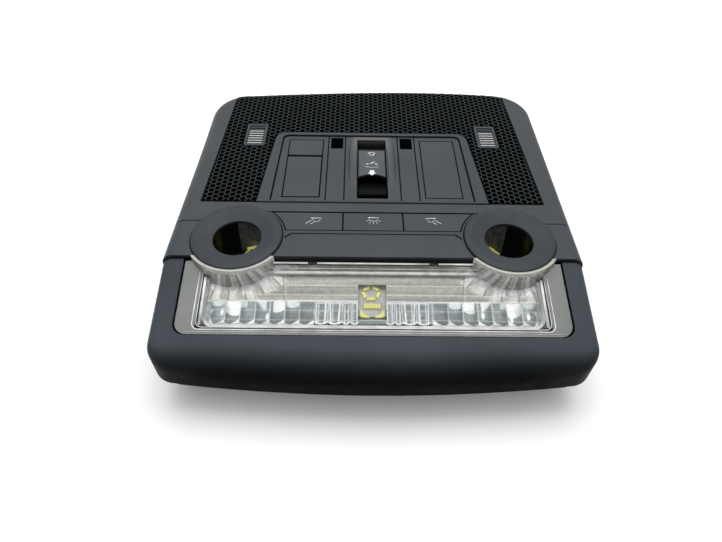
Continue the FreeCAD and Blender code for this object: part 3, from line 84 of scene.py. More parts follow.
def add(tree, kind, **settings):
    """New shader node. Settings that aren't its own properties go to the sockets of that name."""
    node = tree.nodes.new("ShaderNode" + kind)
    for key, value in settings.items():
        if hasattr(node, key):
            setattr(node, key, value)
        else:
            node.inputs[key.replace("_", " ")].default_value = value
    return node


def material(name, **settings):
    """New material and its principled shader, with the shader's constant sockets set."""
    made = bpy.data.materials.new(name)
    made.use_nodes = True
    tree = made.node_tree
    shader = tree.nodes["Principled BSDF"]
    for key, value in settings.items():
        shader.inputs[key.replace("_", " ")].default_value = value
    return made, tree, shader


def noise(tree, coords, scale, detail=2.0):
    """Noise texture on the part's own coordinates."""
    node = add(tree, "TexNoise", Scale=scale, Detail=detail)
    tree.links.new(coords, node.inputs["Vector"])
    return node.outputs["Fac"]


def spread(tree, value, low, high):
    """The middle range of a noise, spread between two numbers."""
    node = add(tree, "MapRange", From_Min=0.3, From_Max=0.7, To_Min=low, To_Max=high)
    tree.links.new(value, node.inputs["Value"])
    return node.outputs["Result"]


def blend(tree, factor, low, high):
    """Colour between two colours or sockets."""
    node = tree.nodes.new("ShaderNodeMix")
    node.data_type = "RGBA"
    tree.links.new(factor, node.inputs["Factor"])
    for socket, colour in (("A", low), ("B", high)):
        place = [s for s in node.inputs if s.name == socket and s.type == "RGBA"][0]
        if isinstance(colour, tuple):
            place.default_value = (*colour, 1.0)
        else:
            tree.links.new(colour, place)
    return [s for s in node.outputs if s.type == "RGBA"][0]


def tinted(colour, share):
    """Colour made darker or lighter."""
    return tuple(channel * share for channel in colour)


def own_coords(tree):
    """The part's own coordinates, in metres."""
    return add(tree, "TexCoord").outputs["Object"]


def mottle(tree, coords, scale, detail, low, high):
    """Colour that drifts between two colours with a noise."""
    return blend(tree, spread(tree, noise(tree, coords, scale, detail), 0.0, 1.0), low, high)


def mottled(name, scale, detail, low, high, **settings):
    """Material whose colour drifts between two colours."""
    made, tree, shader = material(name, **settings)
    tree.links.new(mottle(tree, own_coords(tree), scale, detail, low, high), shader.inputs["Base Color"])
    return made


def grain(tree, shader, coords, scale, strength, edge):
    """Fine grain on softly rounded edges."""
    bump = add(tree, "Bump", Strength=strength, Distance=0.0002)
    tree.links.new(noise(tree, coords, scale), bump.inputs["Height"])
    if edge:
        rounded = add(tree, "Bevel", samples=4, Radius=edge * MM)
        tree.links.new(rounded.outputs["Normal"], bump.inputs["Normal"])
    tree.links.new(bump.outputs["Normal"], shader.inputs["Normal"])


def axis_share(tree, coords, axis, low, high, power=1.0, mirrored=False):
    """Share that goes from nothing to one between two places in millimetres on an axis."""
    split = add(tree, "SeparateXYZ")
    tree.links.new(coords, split.inputs["Vector"])
    place = split.outputs[axis]
    if mirrored:
        both = add(tree, "Math", operation="ABSOLUTE")
        tree.links.new(place, both.inputs[0])
        place = both.outputs["Value"]
    share = add(tree, "MapRange", From_Min=low * MM, From_Max=high * MM)
    tree.links.new(place, share.inputs["Value"])
    curve = add(tree, "Math", operation="POWER")
    tree.links.new(share.outputs["Result"], curve.inputs[0])
    curve.inputs[1].default_value = power
    return curve.outputs["Value"]


def widest(tree, shares):
    """Largest of several shares."""
    result = shares[0]
    for share in shares[1:]:
        largest = add(tree, "Math", operation="MAXIMUM")
        tree.links.new(result, largest.inputs[0])
        tree.links.new(share, largest.inputs[1])
        result = largest.outputs["Value"]
    return result


def crevices(tree, reach):
    """Share of open surroundings within a distance in millimetres: low in seams and corners."""
    open_share = add(tree, "AmbientOcclusion", samples=8, Distance=reach * MM)
    share = add(tree, "MapRange", From_Min=0.35, From_Max=0.9)
    tree.links.new(open_share.outputs["AO"], share.inputs["Value"])
    return share.outputs["Result"]


PATCH_SCALE = 28.0
GLOSS_SCALE = 160.0
# Share of the colour left where a painted shade fade is darkest
PAINTED_SHADE_SHARE = 0.02
SEAM_SHADE = 0.08


def plastic(name, colour, gloss=(0.44, 0.56), patch=0.1, scale=1700.0, strength=0.1, edge=0.3, specular=0.3,
            shade_fades=(), seam_shade_reach=0.0):
    """Moulded plastic: soft patches of tint, uneven gloss, fine grain, painted shade in seams and corners,
    and painted shade faded along an axis.

    Each fade of painted shade is a list of terms of axis, dark end, light end and power, of which the
    lightest counts.
    """
    made, tree, shader = material(name, Specular_IOR_Level=specular)
    coords = own_coords(tree)
    tint = mottle(tree, coords, PATCH_SCALE, 3.0, tinted(colour, 1 - patch), tinted(colour, 1 + patch))
    # Painted shade: each fade darkens the colour along an axis
    for terms in shade_fades:
        share = widest(tree, [axis_share(tree, coords, *term) for term in terms])
        tint = blend(tree, share, tinted(colour, PAINTED_SHADE_SHARE), tint)
    # Painted shade: ambient occlusion darkens the colour in seams and corners
    if seam_shade_reach:
        tint = blend(tree, crevices(tree, seam_shade_reach), tinted(colour, SEAM_SHADE), tint)
    tree.links.new(tint, shader.inputs["Base Color"])
    rough = spread(tree, noise(tree, coords, GLOSS_SCALE), *gloss)
    tree.links.new(rough, shader.inputs["Roughness"])
    grain(tree, shader, coords, scale, strength, edge)
    return made


SHELL = plastic("satin_shell", (0.047, 0.052, 0.055), specular=0.2, seam_shade_reach=2.0)
# Painted shade: the bezel's front roll darkens towards its lower edge
BEZEL = plastic("satin_bezel", (0.054, 0.063, 0.071), specular=0.03, seam_shade_reach=2.0,
                shade_fades=((("Z", 22.0, 37.8, 3.6), ("Y", -100.0, -89.0)),))
# Painted shade: the trim's front lip, where it meets the lens, is darkened
TRIM = plastic("satin_trim", (0.041, 0.049, 0.056), specular=0.2, seam_shade_reach=2.0,
               shade_fades=((("Z", 47.4, 49.8, 1.6), ("Y", -47.6, -46.2)),))
RING = plastic("satin_ring", (0.033, 0.039, 0.045), gloss=(0.46, 0.58), specular=0.2, seam_shade_reach=1.5)
BUTTON = plastic("button_keys", (0.042, 0.051, 0.056), specular=0.2, seam_shade_reach=1.5)
PANEL = plastic("panel_plates", (0.043, 0.051, 0.056), specular=0.2, seam_shade_reach=1.5)
SURROUND = plastic("panel_surround", (0.042, 0.048, 0.054), specular=0.2, seam_shade_reach=1.5)
# Painted shade: the knob darkens low down and towards the front of its finger scoop
KNOB = plastic("switch_knob", (0.094, 0.101, 0.107), specular=0.05,
               shade_fades=((("Z", 47.6, 49.2, 2.0),), (("Y", 9.0, 14.0, 2.0),)))
INNER = plastic("inner_plastic", (0.02, 0.021, 0.023), gloss=(0.5, 0.65))
HOUSING = plastic("housing_plastic", (0.022, 0.023, 0.025), gloss=(0.5, 0.7), scale=900.0, strength=0.2)
GRILLE = plastic("grille_web", (0.074, 0.084, 0.088), gloss=(0.4, 0.55), scale=2500.0, edge=0, specular=0.25)
# Near-black pit walls and floors: painted shade inside the grille's holes
PIT_SHADE = plastic("grille_pit", (0.0015, 0.0016, 0.0018), gloss=(0.7, 0.85), edge=0, specular=0.05)
WINDOW = plastic("dark_window", (0.001, 0.001, 0.0015), gloss=(0.3, 0.4), strength=0.02, edge=0, specular=0.0)


def cheek_highlight_plastic():
    """Panel plastic of the switch bezel, with a painted highlight along the hollows beside the switch."""
    made = plastic("switch_cheeks", (0.045, 0.053, 0.058), specular=0.2, seam_shade_reach=1.5)
    tree = made.node_tree
    shader = tree.nodes["Principled BSDF"]
    below = shader.inputs["Base Color"].links[0].from_socket
    coords = own_coords(tree)
    # Painted highlight: paler colour along the hollows beside the switch, strongest towards the rear
    near = axis_share(tree, coords, "X", 12.6, 9.4, 1.2, mirrored=True)
    rear = axis_share(tree, coords, "Y", -20.0, 46.0, 2.0)
    share = add(tree, "Math", operation="MULTIPLY")
    tree.links.new(near, share.inputs[0])
    tree.links.new(rear, share.inputs[1])
    colour = blend(tree, share.outputs["Value"], below, (0.108, 0.113, 0.109))
    tree.links.new(colour, shader.inputs["Base Color"])
    return made


def steel():
    """Zinc-plated steel with a brushed grain."""
    made, tree, shader = material("plated_steel", Metallic=1.0)
    coords = own_coords(tree)
    patches = mottle(tree, coords, 220.0, 4.0, (0.45, 0.46, 0.47), (0.66, 0.66, 0.65))
    tree.links.new(patches, shader.inputs["Base Color"])
    tree.links.new(spread(tree, noise(tree, coords, 700.0), 0.25, 0.45), shader.inputs["Roughness"])
    return made


def laminate():
    """Solder mask with the faint lines of its copper below."""
    made, tree, shader = material("board_laminate", Roughness=0.35)
    tracks = add(tree, "TexVoronoi", feature="DISTANCE_TO_EDGE", Scale=260.0)
    tree.links.new(own_coords(tree), tracks.inputs["Vector"])
    line = add(tree, "MapRange", From_Min=0.02, From_Max=0.08, To_Min=1.0, To_Max=0.0)
    tree.links.new(tracks.outputs["Distance"], line.inputs["Value"])
    colour = blend(tree, line.outputs["Result"], (0.012, 0.06, 0.03), (0.03, 0.12, 0.05))
    tree.links.new(colour, shader.inputs["Base Color"])
    return made


def light_chip():
    """Yellow phosphor over a light chip, with fine grains and a faint glow."""
    made, tree, shader = material("yellow_phosphor", Roughness=0.45, Emission_Strength=0.12)
    colour = mottle(tree, own_coords(tree), 2600.0, 3.0, (0.72, 0.70, 0.10), (0.92, 0.90, 0.34))
    tree.links.new(colour, shader.inputs["Base Color"])
    tree.links.new(colour, shader.inputs["Emission Color"])
    return made


def felt(name, low, high):
    """Felt with fine fibres, between two greys."""
    return mottled(name, 1500.0, 4.0, (low, low, low * 0.97), (high, high, high * 0.97), Roughness=0.9)


CUP_SPLIT = RING_X + 2.1


def cup():
    """Lamp cup: black on its outer half, warm dark metal with facets on the half towards the middle."""
    made, tree, shader = material("lamp_cup", Specular_IOR_Level=0.4)
    coords = own_coords(tree)
    split = add(tree, "SeparateXYZ")
    tree.links.new(coords, split.inputs["Vector"])
    across = add(tree, "Math", operation="ABSOLUTE")
    tree.links.new(split.outputs["X"], across.inputs[0])
    inward = add(tree, "Math", operation="LESS_THAN")
    inward.inputs[1].default_value = CUP_SPLIT * MM
    tree.links.new(across.outputs["Value"], inward.inputs[0])
    facets = add(tree, "TexVoronoi", Scale=260.0)
    tree.links.new(coords, facets.inputs["Vector"])
    warm = blend(tree, facets.outputs["Distance"], (0.05, 0.052, 0.048), (0.16, 0.162, 0.15))
    colour = blend(tree, inward.outputs["Value"], (0.001, 0.001, 0.0012), warm)
    tree.links.new(colour, shader.inputs["Base Color"])
    tree.links.new(spread(tree, noise(tree, coords, 300.0), 0.2, 0.34), shader.inputs["Roughness"])
    return made


FLANGE_BLEND = 0.4


def clear_cover():
    """Clear lens: nearly open over the light, milky where its flange lies on the bezel."""
    made, tree, shader = material("clear_cover", Roughness=0.12, Specular_IOR_Level=0.5)
    coords = own_coords(tree)
    side = axis_share(tree, coords, "X", OPENING_HALF, OPENING_HALF + FLANGE_BLEND, mirrored=True)
    front = axis_share(tree, coords, "Y", OPENING_FRONT, OPENING_FRONT - FLANGE_BLEND)
    alpha = add(tree, "MapRange", To_Min=0.10, To_Max=0.88)
    tree.links.new(widest(tree, [side, front]), alpha.inputs["Value"])
    tree.links.new(alpha.outputs["Result"], shader.inputs["Alpha"])
    milky = mottle(tree, coords, 60.0, 3.0, (0.096, 0.105, 0.096), (0.123, 0.133, 0.121))
    tree.links.new(milky, shader.inputs["Base Color"])
    return made


def bright_parts():
    """Metallised optic whose stored tone holds painted highlights and painted shade, with a faint ripple."""
    made, tree, shader = material("bright_optic", Metallic=0.25, Specular_IOR_Level=0.5)
    coords = own_coords(tree)
    tone = add(tree, "VertexColor", layer_name="tone").outputs["Color"]
    darker = add(tree, "Mix", data_type="RGBA", blend_type="MULTIPLY")
    darker.inputs["Factor"].default_value = 1.0
    sockets = [s for s in darker.inputs if s.type == "RGBA"]
    tree.links.new(tone, sockets[0])
    sockets[1].default_value = (0.86, 0.86, 0.86, 1.0)
    shaded = [s for s in darker.outputs if s.type == "RGBA"][0]
    tree.links.new(mottle(tree, coords, 420.0, 3.0, shaded, tone), shader.inputs["Base Color"])
    tree.links.new(spread(tree, noise(tree, coords, 260.0), 0.2, 0.36), shader.inputs["Roughness"])
    return made


CHEEK = cheek_highlight_plastic()
INK = mottled("white_ink", 1400.0, 2.0, (0.62, 0.63, 0.63), (0.9, 0.9, 0.9), Roughness=0.5)
STEEL = steel()
LAMINATE = laminate()
CHIP = light_chip()
FELT = felt("pale_felt", 0.5, 0.75)
# Near-black fins: painted shade in the rear slots
SLOT_SHADE_FELT = felt("slot_shade_felt", 0.006, 0.012)
PALE_BOARD = mottled("pale_board", 240.0, 4.0, (0.42, 0.42, 0.39), (0.6, 0.6, 0.56), Roughness=0.5)
CUP = cup()
CLEAR = clear_cover()
BRIGHT = bright_parts()
# Pale colour: painted highlight on the clear ribs, also used on the reflector tray
RIB_HIGHLIGHT = mottled("clear_rib", 140.0, 3.0, (0.5, 0.51, 0.48), (0.92, 0.93, 0.9), Roughness=0.18)

FINISHES = {
    SHELL: ("rear_cover",),
    BEZEL: ("front_bezel",),
    TRIM: ("centre_trim",),
    RING: ("ring_left", "ring_right"),
    BUTTON: ("button_left", "button_centre", "button_right", "call_button"),
    PANEL: ("panel_left", "panel_right", "strip_left", "strip_right", "blank_left", "blank_right",
            "call_flap"),
    CHEEK: ("switch_bezel",),
    SURROUND: ("panel_surround", "mic_cover_left", "mic_cover_right"),
    KNOB: ("switch_knob",),
    INNER: ("switch_carriage", "switch_housing", "plunger_left", "plunger_centre", "plunger_right",
            "plunger_call", "tact_bases", "board_chips", "connector_header"),
    HOUSING: ("rear_housing",),
    WINDOW: ("window_left", "window_right"),
    FELT: ("mic_filter_left", "mic_filter_right"),
    STEEL: ("mic_capsule_left", "mic_capsule_right", "connector_pins", "housing_screws", "spring_clips"),
    LAMINATE: ("circuit_board",),
    PALE_BOARD: ("led_board",),
    CHIP: ("reading_led_left", "reading_led_right", "dome_leds"),
    CUP: ("reading_reflector_left", "reading_reflector_right"),
    CLEAR: ("lens", "optic_plate"),
    RIB_HIGHLIGHT: ("reflector_tray",),
    GRILLE: ("grille",),
}
for finish, names in FINISHES.items():
    for name in names:
        for slot in NODES[name].material_slots:
            slot.material = finish


# Mesh helpers


def piece(name, points, faces, finishes, body, marks=None, smooth=False):
    """New mesh piece from points in metres, riding on a body. Marks give each face its finish."""
    mesh = bpy.data.meshes.new(name)
    mesh.from_pydata([tuple(p) for p in points], [], faces)
    for finish in finishes:
        mesh.materials.append(finish)
    if marks is not None:
        mesh.polygons.foreach_set("material_index", marks)
    mesh.polygons.foreach_set("use_smooth", [smooth] * len(faces))
    mesh.update()
    made = bpy.data.objects.new(name, mesh)
    bpy.context.scene.collection.objects.link(made)
    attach(made, body)
    return made


def sweep(path, up, section, closed=False):
    """Points and faces of a section, in millimetres of side and height, swept along points in metres."""
    points = []
    faces = []
    count = len(path)
    for n, spot in enumerate(path):
        before = path[n - 1] if n or closed else spot
        after = path[(n + 1) % count] if n + 1 < count or closed else spot
        along = (after - before).normalized()
        side = along.cross(up).normalized()
        stretch = 1.0
        if (closed or 0 < n < count - 1) and (spot - before).length > 0:
            turn = along.dot((spot - before).normalized())
            stretch = 1 / max(turn, 0.4)
        for across, height in section:
            points.append(spot + side * (across * stretch * MM) + up * (height * MM))
    size = len(section)
    for n in range(count if closed else count - 1):
        for k in range(size):
            a = n * size + k
            b = n * size + (k + 1) % size
            c = ((n + 1) % count) * size + (k + 1) % size
            d = ((n + 1) % count) * size + k
            faces.append((a, b, c, d))
    if not closed:
        faces.append(tuple(reversed(range(size))))
        faces.append(tuple(range((count - 1) * size, count * size)))
    return points, faces


def joined(parts):
    """One list of points and faces from several."""
    points = []
    faces = []
    for more_points, more_faces in parts:
        start = len(points)
        points += more_points
        faces += [tuple(start + k for k in face) for face in more_faces]
    return points, faces


def rib_section(width, height):
    """Half-round rib."""
    steps = [math.pi * k / 6 for k in range(7)]
    return [(-width / 2 * math.cos(t), height * math.sin(t)) for t in steps]


# Mesh grille


HEX_PITCH = 3.46
HEX_WEB = 0.4
HEX_DEPTH = 1.7
HEX_RIDGE = 0.02
HEX_SHOULDER = 0.28
HEX_FIRST = -7.2
HEX_ROWS = 45
HEX_STEPS = 31
HEX_OVERLAP = 0.35
FIELD_FRONT = -7.9
FIELD_SIDE = 88.0
COVER_LEAN = 4.6 / 124.0
PANEL_LEAN = 4.8 / 64.1
PANEL_HALF = 59.0
MIC_X = 69.5
MIC_Y = 53.5


def box_gap(x, y, half_x, half_y, corner):
    """Signed distance to a box with rounded corners, negative inside."""
    dx = abs(x) - half_x + corner
    dy = abs(y) - half_y + corner
    return math.hypot(max(dx, 0.0), max(dy, 0.0)) + min(max(dx, dy), 0.0) - corner


def grille_gap(x, y):
    """Signed distance out of the grille's field, between the cover, the panel and the slotted covers."""
    x = abs(x)
    side = (x - (90.4 - COVER_LEAN * (y + 8.0))) / math.hypot(1.0, COVER_LEAN)
    wide = 62.1 - PANEL_LEAN * (y + 8.2)
    panel = box_gap(x / wide * PANEL_HALF, y, PANEL_HALF, 56.4, 7.0)
    slotted = box_gap(x - MIC_X, y - MIC_Y, 6.75, 11.75, 1.8)
    return max(side, FIELD_FRONT - y, -panel, -slotted)


def inside_grille(x, y):
    """Nearest place within the grille's field."""
    for _ in range(4):
        gap = grille_gap(x, y)
        if gap <= 0:
            break
        step = 0.01
        gx = (grille_gap(x + step, y) - grille_gap(x - step, y)) / (2 * step)
        gy = (grille_gap(x, y + step) - grille_gap(x, y - step)) / (2 * step)
        size = max(math.hypot(gx, gy), 1e-6)
        x -= gx / size * gap
        y -= gy / size * gap
    return x, y


def rear_edge(x):
    """Rear edge of the plan and the solid's roll there, which is wider at the left than at the right."""
    edge = math.sqrt(REAR_BOW ** 2 - x * x) - REAR_BOW + REAR_REACH
    straight = HALF_REAR - REAR_CORNER
    past = max(abs(x) - straight, 0.0)
    edge -= REAR_CORNER - math.sqrt(REAR_CORNER ** 2 - past * past)
    share = min(max((x + straight) / (2 * straight), 0.0), 1.0)
    share *= share * (3 - 2 * share)
    if x < -straight:
        share = math.asin(past / REAR_CORNER) / (math.pi / 2)
    return edge, REAR_ROLL + (SIDE_ROLL - REAR_ROLL) * share


def on_skin(x, s, depth):
    """Point at a distance along the face and over the rear roll, at a depth under the skin."""
    edge, radius = rear_edge(x)
    start = edge - radius
    past = s - start
    if past <= 0:
        return Vector((x, s, FACE - depth)) * MM
    turn = min(past / radius, math.pi / 2)
    drop = max(past - radius * math.pi / 2, 0.0)
    y = start + (radius - depth) * math.sin(turn)
    z = FACE - radius + (radius - depth) * math.cos(turn) - drop
    return Vector((x, y, z)) * MM


def make_grille():
    """Fine hexagon mesh of sharp-ridged webs over blind pits, painted black as shade inside the holes."""
    reach = HEX_PITCH / math.sqrt(3)
    inner = 1 - HEX_WEB / HEX_PITCH
    rings = ((1.0, HEX_RIDGE), (inner, HEX_SHOULDER), (inner * 0.97, HEX_DEPTH))
    corners = [(math.cos(math.radians(60 * k)) * reach, math.sin(math.radians(60 * k)) * reach)
               for k in range(6)]
    points = []
    faces = []
    marks = []
    for row in range(-1, HEX_ROWS + 1):
        for step in range(-HEX_STEPS, HEX_STEPS + 1):
            x = step * reach * 1.5
            y = HEX_FIRST + (row + 0.5 * (step % 2)) * HEX_PITCH
            if grille_gap(x, y) > HEX_OVERLAP * reach:
                continue
            edge, radius = rear_edge(min(max(x, -FIELD_SIDE), FIELD_SIDE))
            last = edge - radius + radius * math.pi / 2 + SKIRT - radius
            if y > last:
                continue
            first = len(points)
            for share, depth in rings:
                for cx, cy in corners:
                    px, py = inside_grille(x + cx * share, y + cy * share)
                    points.append(on_skin(px, min(py, last), depth))
            for mark, start in enumerate((first, first + 6)):
                for k in range(6):
                    n = (k + 1) % 6
                    faces.append((start + k, start + n, start + 6 + n, start + 6 + k))
                    marks.append(mark)
            faces.append(tuple(first + 12 + k for k in range(6)))
            marks.append(1)
    made = piece("grille_mesh", points, faces, [GRILLE, PIT_SHADE], "console", marks)
    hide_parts("grille")


# Dome light behind the lens


# Line of sight over the lens, along which the optic's pattern is laid below it
VIEW_U = -8.57
VIEW_DEPTH = 226.0
VIEW_LEAN = 0.495

# Levels under the face of the lens, and the optic's reach across and up it
OPTIC_W = -5.6
RIM_W = -3.85
LENS_TOP = -1.0
OPTIC_HALF = 80.3
OPTIC_FRONT = -34.9
OPTIC_REAR = -1.4
OPTIC_COLUMNS = 402
OPTIC_ROWS = 112
LAMP_V = 13.4
LAMP_CUT = 23.3
CHIPS_U = -0.9
CHIPS_HALF = 6.4
CHIPS_FRONT = -31.2
CHIPS_REAR = -13.4


def tone_noise(v, u, waves, seed):
    """Sum of long wavy streaks along the light."""
    rng = random.Random(seed)
    total = np.zeros_like(v)
    for length, size in waves:
        bend = 0.25 * np.sin(u / rng.uniform(18, 40) + rng.uniform(0, 6.3))
        total += size * np.sin(2 * math.pi * (v / length + rng.random() + bend))
    return total


def soft_step(value, edge, width):
    """Share that goes smoothly from nothing to one round an edge."""
    t = np.clip((value - edge) / width + 0.5, 0, 1)
    return t * t * (3 - 2 * t)


def band(value, low, high, soft):
    """Share that is one between two soft edges."""
    return soft_step(value, low, soft) * (1 - soft_step(value, high, soft))


def over(tone, mask, new):
    """Tone with a new one laid over it where the mask says so."""
    return tone * (1 - mask) + new * mask


WIDE_EDGE = 27.0
WIDE_PITCH = 6.85
FLUTE_EDGES = (26.8, 20.4, 13.9, 10.2, 6.0)
FLUTE_SHIFT = -0.8
CELL_REAR = -22.4
CELL_FRONT = -34.8
FAN_COUNT = 26

# Painted highlights on facets round a lamp: middle and half angle, inner and outer distance, brightness
FACET_HIGHLIGHTS = ((-16, 2.6, 24.0, 29.5, 0.9), (-8, 0.7, 24.0, 31.0, 0.6), (1.5, 1.2, 24.0, 27.0, 0.75),
              (7, 0.7, 24.0, 30.0, 0.6), (13.5, 2.1, 23.0, 32.5, 0.92), (19, 0.6, 24.0, 36.0, 0.65),
              (22, 0.5, 24.0, 38.0, 0.6), (30, 3.2, 24.0, 29.0, 0.85), (36.5, 0.6, 24.0, 36.0, 0.55),
              (42.5, 3.6, 24.0, 30.0, 0.9), (50, 1.0, 24.0, 34.0, 0.6))

# Painted highlight at the top of each wide cell, from the middle outwards: depth, slant, low and high side
CELL_HIGHLIGHTS = ((0.0, 0.0, 0.0, 1.0), (0.17, 0.05, 0.12, 0.95), (0.36, 0.1, 0.05, 0.85), (0.22, -0.5, 0.3, 0.98),
           (0.12, 0.3, 0.6, 1.0), (0.5, -0.12, 0.06, 0.96), (0.12, 0.1, 0.1, 0.9))
# Cells with a painted glint, and the outermost cell, which has a painted highlight along its outer edge
SPARKLING = (3, 5, 6)
OUTERMOST = 6

# Painted highlights in a flute: place and width across it, brightness
FLUTE_HIGHLIGHTS = ((0.2, 0.1, 0.85), (0.66, 0.07, 0.6), (0.83, 0.09, 0.92))

# Moulded lines across the optic, pale as painted highlights: level, half width, brightness, share
MOULDED_LINES = ((-9.4, 0.12, 0.5, 0.5), (-13.7, 0.16, 0.66, 0.85), (-18.7, 0.16, 0.66, 0.85),
                 (-22.1, 0.34, 0.8, 0.8), (-27.0, 0.16, 0.55, 0.8), (-31.8, 0.16, 0.55, 0.8))


def optic_tone(u, v):
    """Brightness and relief of the optic at each place across and up the lens. The brightness holds painted
    highlights and painted shade as well as the optic's own tone.
    """
    tone = 0.29 + tone_noise(v, u, ((9.0, 0.035), (4.2, 0.03), (2.3, 0.018), (1.3, 0.008)), 3)
    relief = 0.05 * tone_noise(v, u, ((2.6, 0.5), (1.5, 0.4)), 5)
    tone += 0.05 * soft_step(v, -6.0, 6.0) - 0.05 * band(v, -22.5, -15.0, 4.0)

    # Radial facets round both lamp collars: real relief, with painted light and shade alternating from facet
    # to facet and painted highlights on some facets
    for side in (-1, 1):
        du = (u - side * RING_X) * side
        dv = (v - LAMP_V) * math.cos(SLOPE)
        radius = np.hypot(du, dv)
        angle = np.degrees(np.arctan2(-du, -dv))
        zone = band(radius, 20.0, 36.0, 3.0) * (v > CELL_REAR)
        fan = 0.5 + 0.5 * np.sign(np.sin(np.radians(angle) * FAN_COUNT))
        tone = over(tone, zone * 0.8, 0.40 + 0.22 * fan)
        relief = over(relief, zone, 0.45 * (fan - 0.5))
        for middle, half, low, high, bright in FACET_HIGHLIGHTS:
            facet = band(angle, middle - half, middle + half, 0.8) * band(radius, low - 4, high, 1.2)
            tone = over(tone, facet * (v > CELL_REAR), bright)
        # Painted light: the optic is made brighter near each lamp, where the ring casts its shadow
        shaded = 1 - soft_step(radius, 30.0, 8.0)
        tone = np.where(v > CELL_REAR, tone * (1 + 1.2 * shaded), tone)

    # Wide pillow cells along the front: each has painted highlights at its top, along its edge and below its
    # foot, a painted shade band at its foot, and some have painted glints
    rng = random.Random(11)
    row = band(v, CELL_FRONT, CELL_REAR, 0.3)
    down = np.clip((CELL_REAR - v) / (CELL_REAR - CELL_FRONT), 0, 1)
    for side in (-1, 1):
        for n, (reach, slant, near, far) in enumerate(CELL_HIGHLIGHTS):
            low = WIDE_EDGE + n * WIDE_PITCH
            across = (u * side - low) / WIDE_PITCH
            here = row * (across >= 0) * (across < 1)
            base = 0.150 + 0.018 * n + rng.uniform(-0.015, 0.015)
            cell = base + 0.03 * tone_noise(v, u, ((5.0, 0.5), (2.2, 0.4)), 20 + n)
            bow = 0.1 * np.cos(math.pi * (across - 0.5))
            patch = soft_step(reach + slant * (across - 0.5) + bow * (reach > 0) - down, 0.0, 0.05)
            patch *= band(across, near, far, 0.06) * (reach > 0)
            cell = over(cell, patch * min(1.0, 0.45 + reach), rng.uniform(0.78, 0.95))
            foot = 0.92 - 0.06 * (2 * across - 1) ** 2
            # Painted shade at the foot of the cell, then a painted highlight below it
            shade = band(down, foot - 0.07, foot + 0.02, 0.03)
            cell = over(cell, shade * 0.7, 0.07)
            corner = np.clip(1.0 - across * 1.6, 0, 1) * 0.16 + 0.025
            cell = over(cell, band(down, foot + 0.05 - corner, 1.1, 0.03), rng.uniform(0.6, 0.9))
            if n in SPARKLING:
                blob = np.hypot((across - rng.uniform(0.15, 0.45)) * 1.4, down - rng.uniform(0.45, 0.7))
                cell = over(cell, 1 - soft_step(blob, 0.15, 0.12), 0.85)
            if n == OUTERMOST:
                edge = band(across + 0.25 * np.cos(down * 5.0), 0.72, 1.3, 0.2) * band(down, 0.35, 0.98, 0.1)
                cell = over(cell, edge, 0.88)
            # Painted highlight along the cell's edge
            line = 1 - soft_step(np.abs(across - 0.03), 0.03, 0.03)
            cell = over(cell, line * 0.85, 0.62)
            tone = over(tone, here, cell)
            bulge = 0.9 * np.clip(1 - (2 * across - 1) ** 2, 0, 1) * np.sin(math.pi * down)
            relief = over(relief, here, bulge)

    # Flutes beside the light chips, each with curved painted highlights along it and at its edges, a painted
    # highlight at its top and a painted highlight over painted shade at its foot
    for side in (-1, 1):
        for n in range(len(FLUTE_EDGES) - 1):
            low = FLUTE_EDGES[n + 1]
            wide = FLUTE_EDGES[n] - low
            across = ((u - FLUTE_SHIFT) * side - low) / wide
            here = row * (across >= 0) * (across < 1)
            from_mid = np.abs(2 * across - 1)
            cell = 0.17 + 0.05 * tone_noise(v, u, ((6.0, 0.5), (2.5, 0.5)), 50 + n)
            sway = 0.1 * np.sin(down * 4.4 + n) + 0.3 * np.clip(0.22 - down, 0, 1)
            for place, width, bright in FLUTE_HIGHLIGHTS:
                stripe = band(across + sway * (0.5 - place), place - width / 2, place + width / 2, 0.07)
                cell = over(cell, stripe * band(down, 0.02, 0.93, 0.08), bright)
            line = band(from_mid, 0.93, 1.2, 0.05)
            cell = over(cell, line * 0.8, 0.62)
            foot = 0.92 - 0.1 * (2 * across - 1) ** 2
            cell = over(cell, band(down, foot - 0.035, foot + 0.02, 0.03), 0.9)
            cell = over(cell, band(down, foot + 0.03, 1.1, 0.03), 0.06)
            cell = over(cell, band(down, -0.1, 0.07, 0.05) * 0.75, 0.75)
            tone = over(tone, here, cell)
            relief = over(relief, here, 1.1 * np.sqrt(np.clip(1 - from_mid ** 2, 0, 1)))

    # Space in front of the light chips
    middle = row * (np.abs(u - FLUTE_SHIFT) < FLUTE_EDGES[-1])
    tone = over(tone, middle, 0.3 - 0.16 * down)

    # Moulded lines across and up the optic, pale as painted highlights, and a step up each side drawn as a
    # painted shade line beside a painted highlight line
    for level, width, bright, share in MOULDED_LINES:
        wave = level + 0.18 * np.sin(u / 17.0 + level)
        tone = over(tone, band(v, wave - width, wave + width, 0.2) * share, bright)
    for side in (-1, 1):
        place = side * (43.4 + 0.12 * (v + 6.0))
        upper = (v > CELL_REAR) * (v < -5.5)
        tone = over(tone, band(u, place - 0.3, place + 0.3, 0.3) * upper * 0.8, 0.14)
        tone = over(tone, band(u, place + 0.35, place + 0.7, 0.2) * upper * 0.7, 0.55)
    return np.clip(tone, 0.03, 0.95), relief


def paint(made, tone, warm):
    """Stores the tone of each point: olive where it is warm, else bluish, and plain where it is bright."""
    tint = np.clip((0.75 - tone) * 3, 0, 1)
    red = 1 - 0.14 * tint * (1 - warm)
    blue = 1 - 0.14 * tint * warm
    rgba = np.stack([tone * red, tone, tone * blue, np.ones_like(tone)], 1)
    layer = made.data.color_attributes.new("tone", "FLOAT_COLOR", "POINT")
    layer.data.foreach_set("color", rgba.astype(np.float32).ravel())


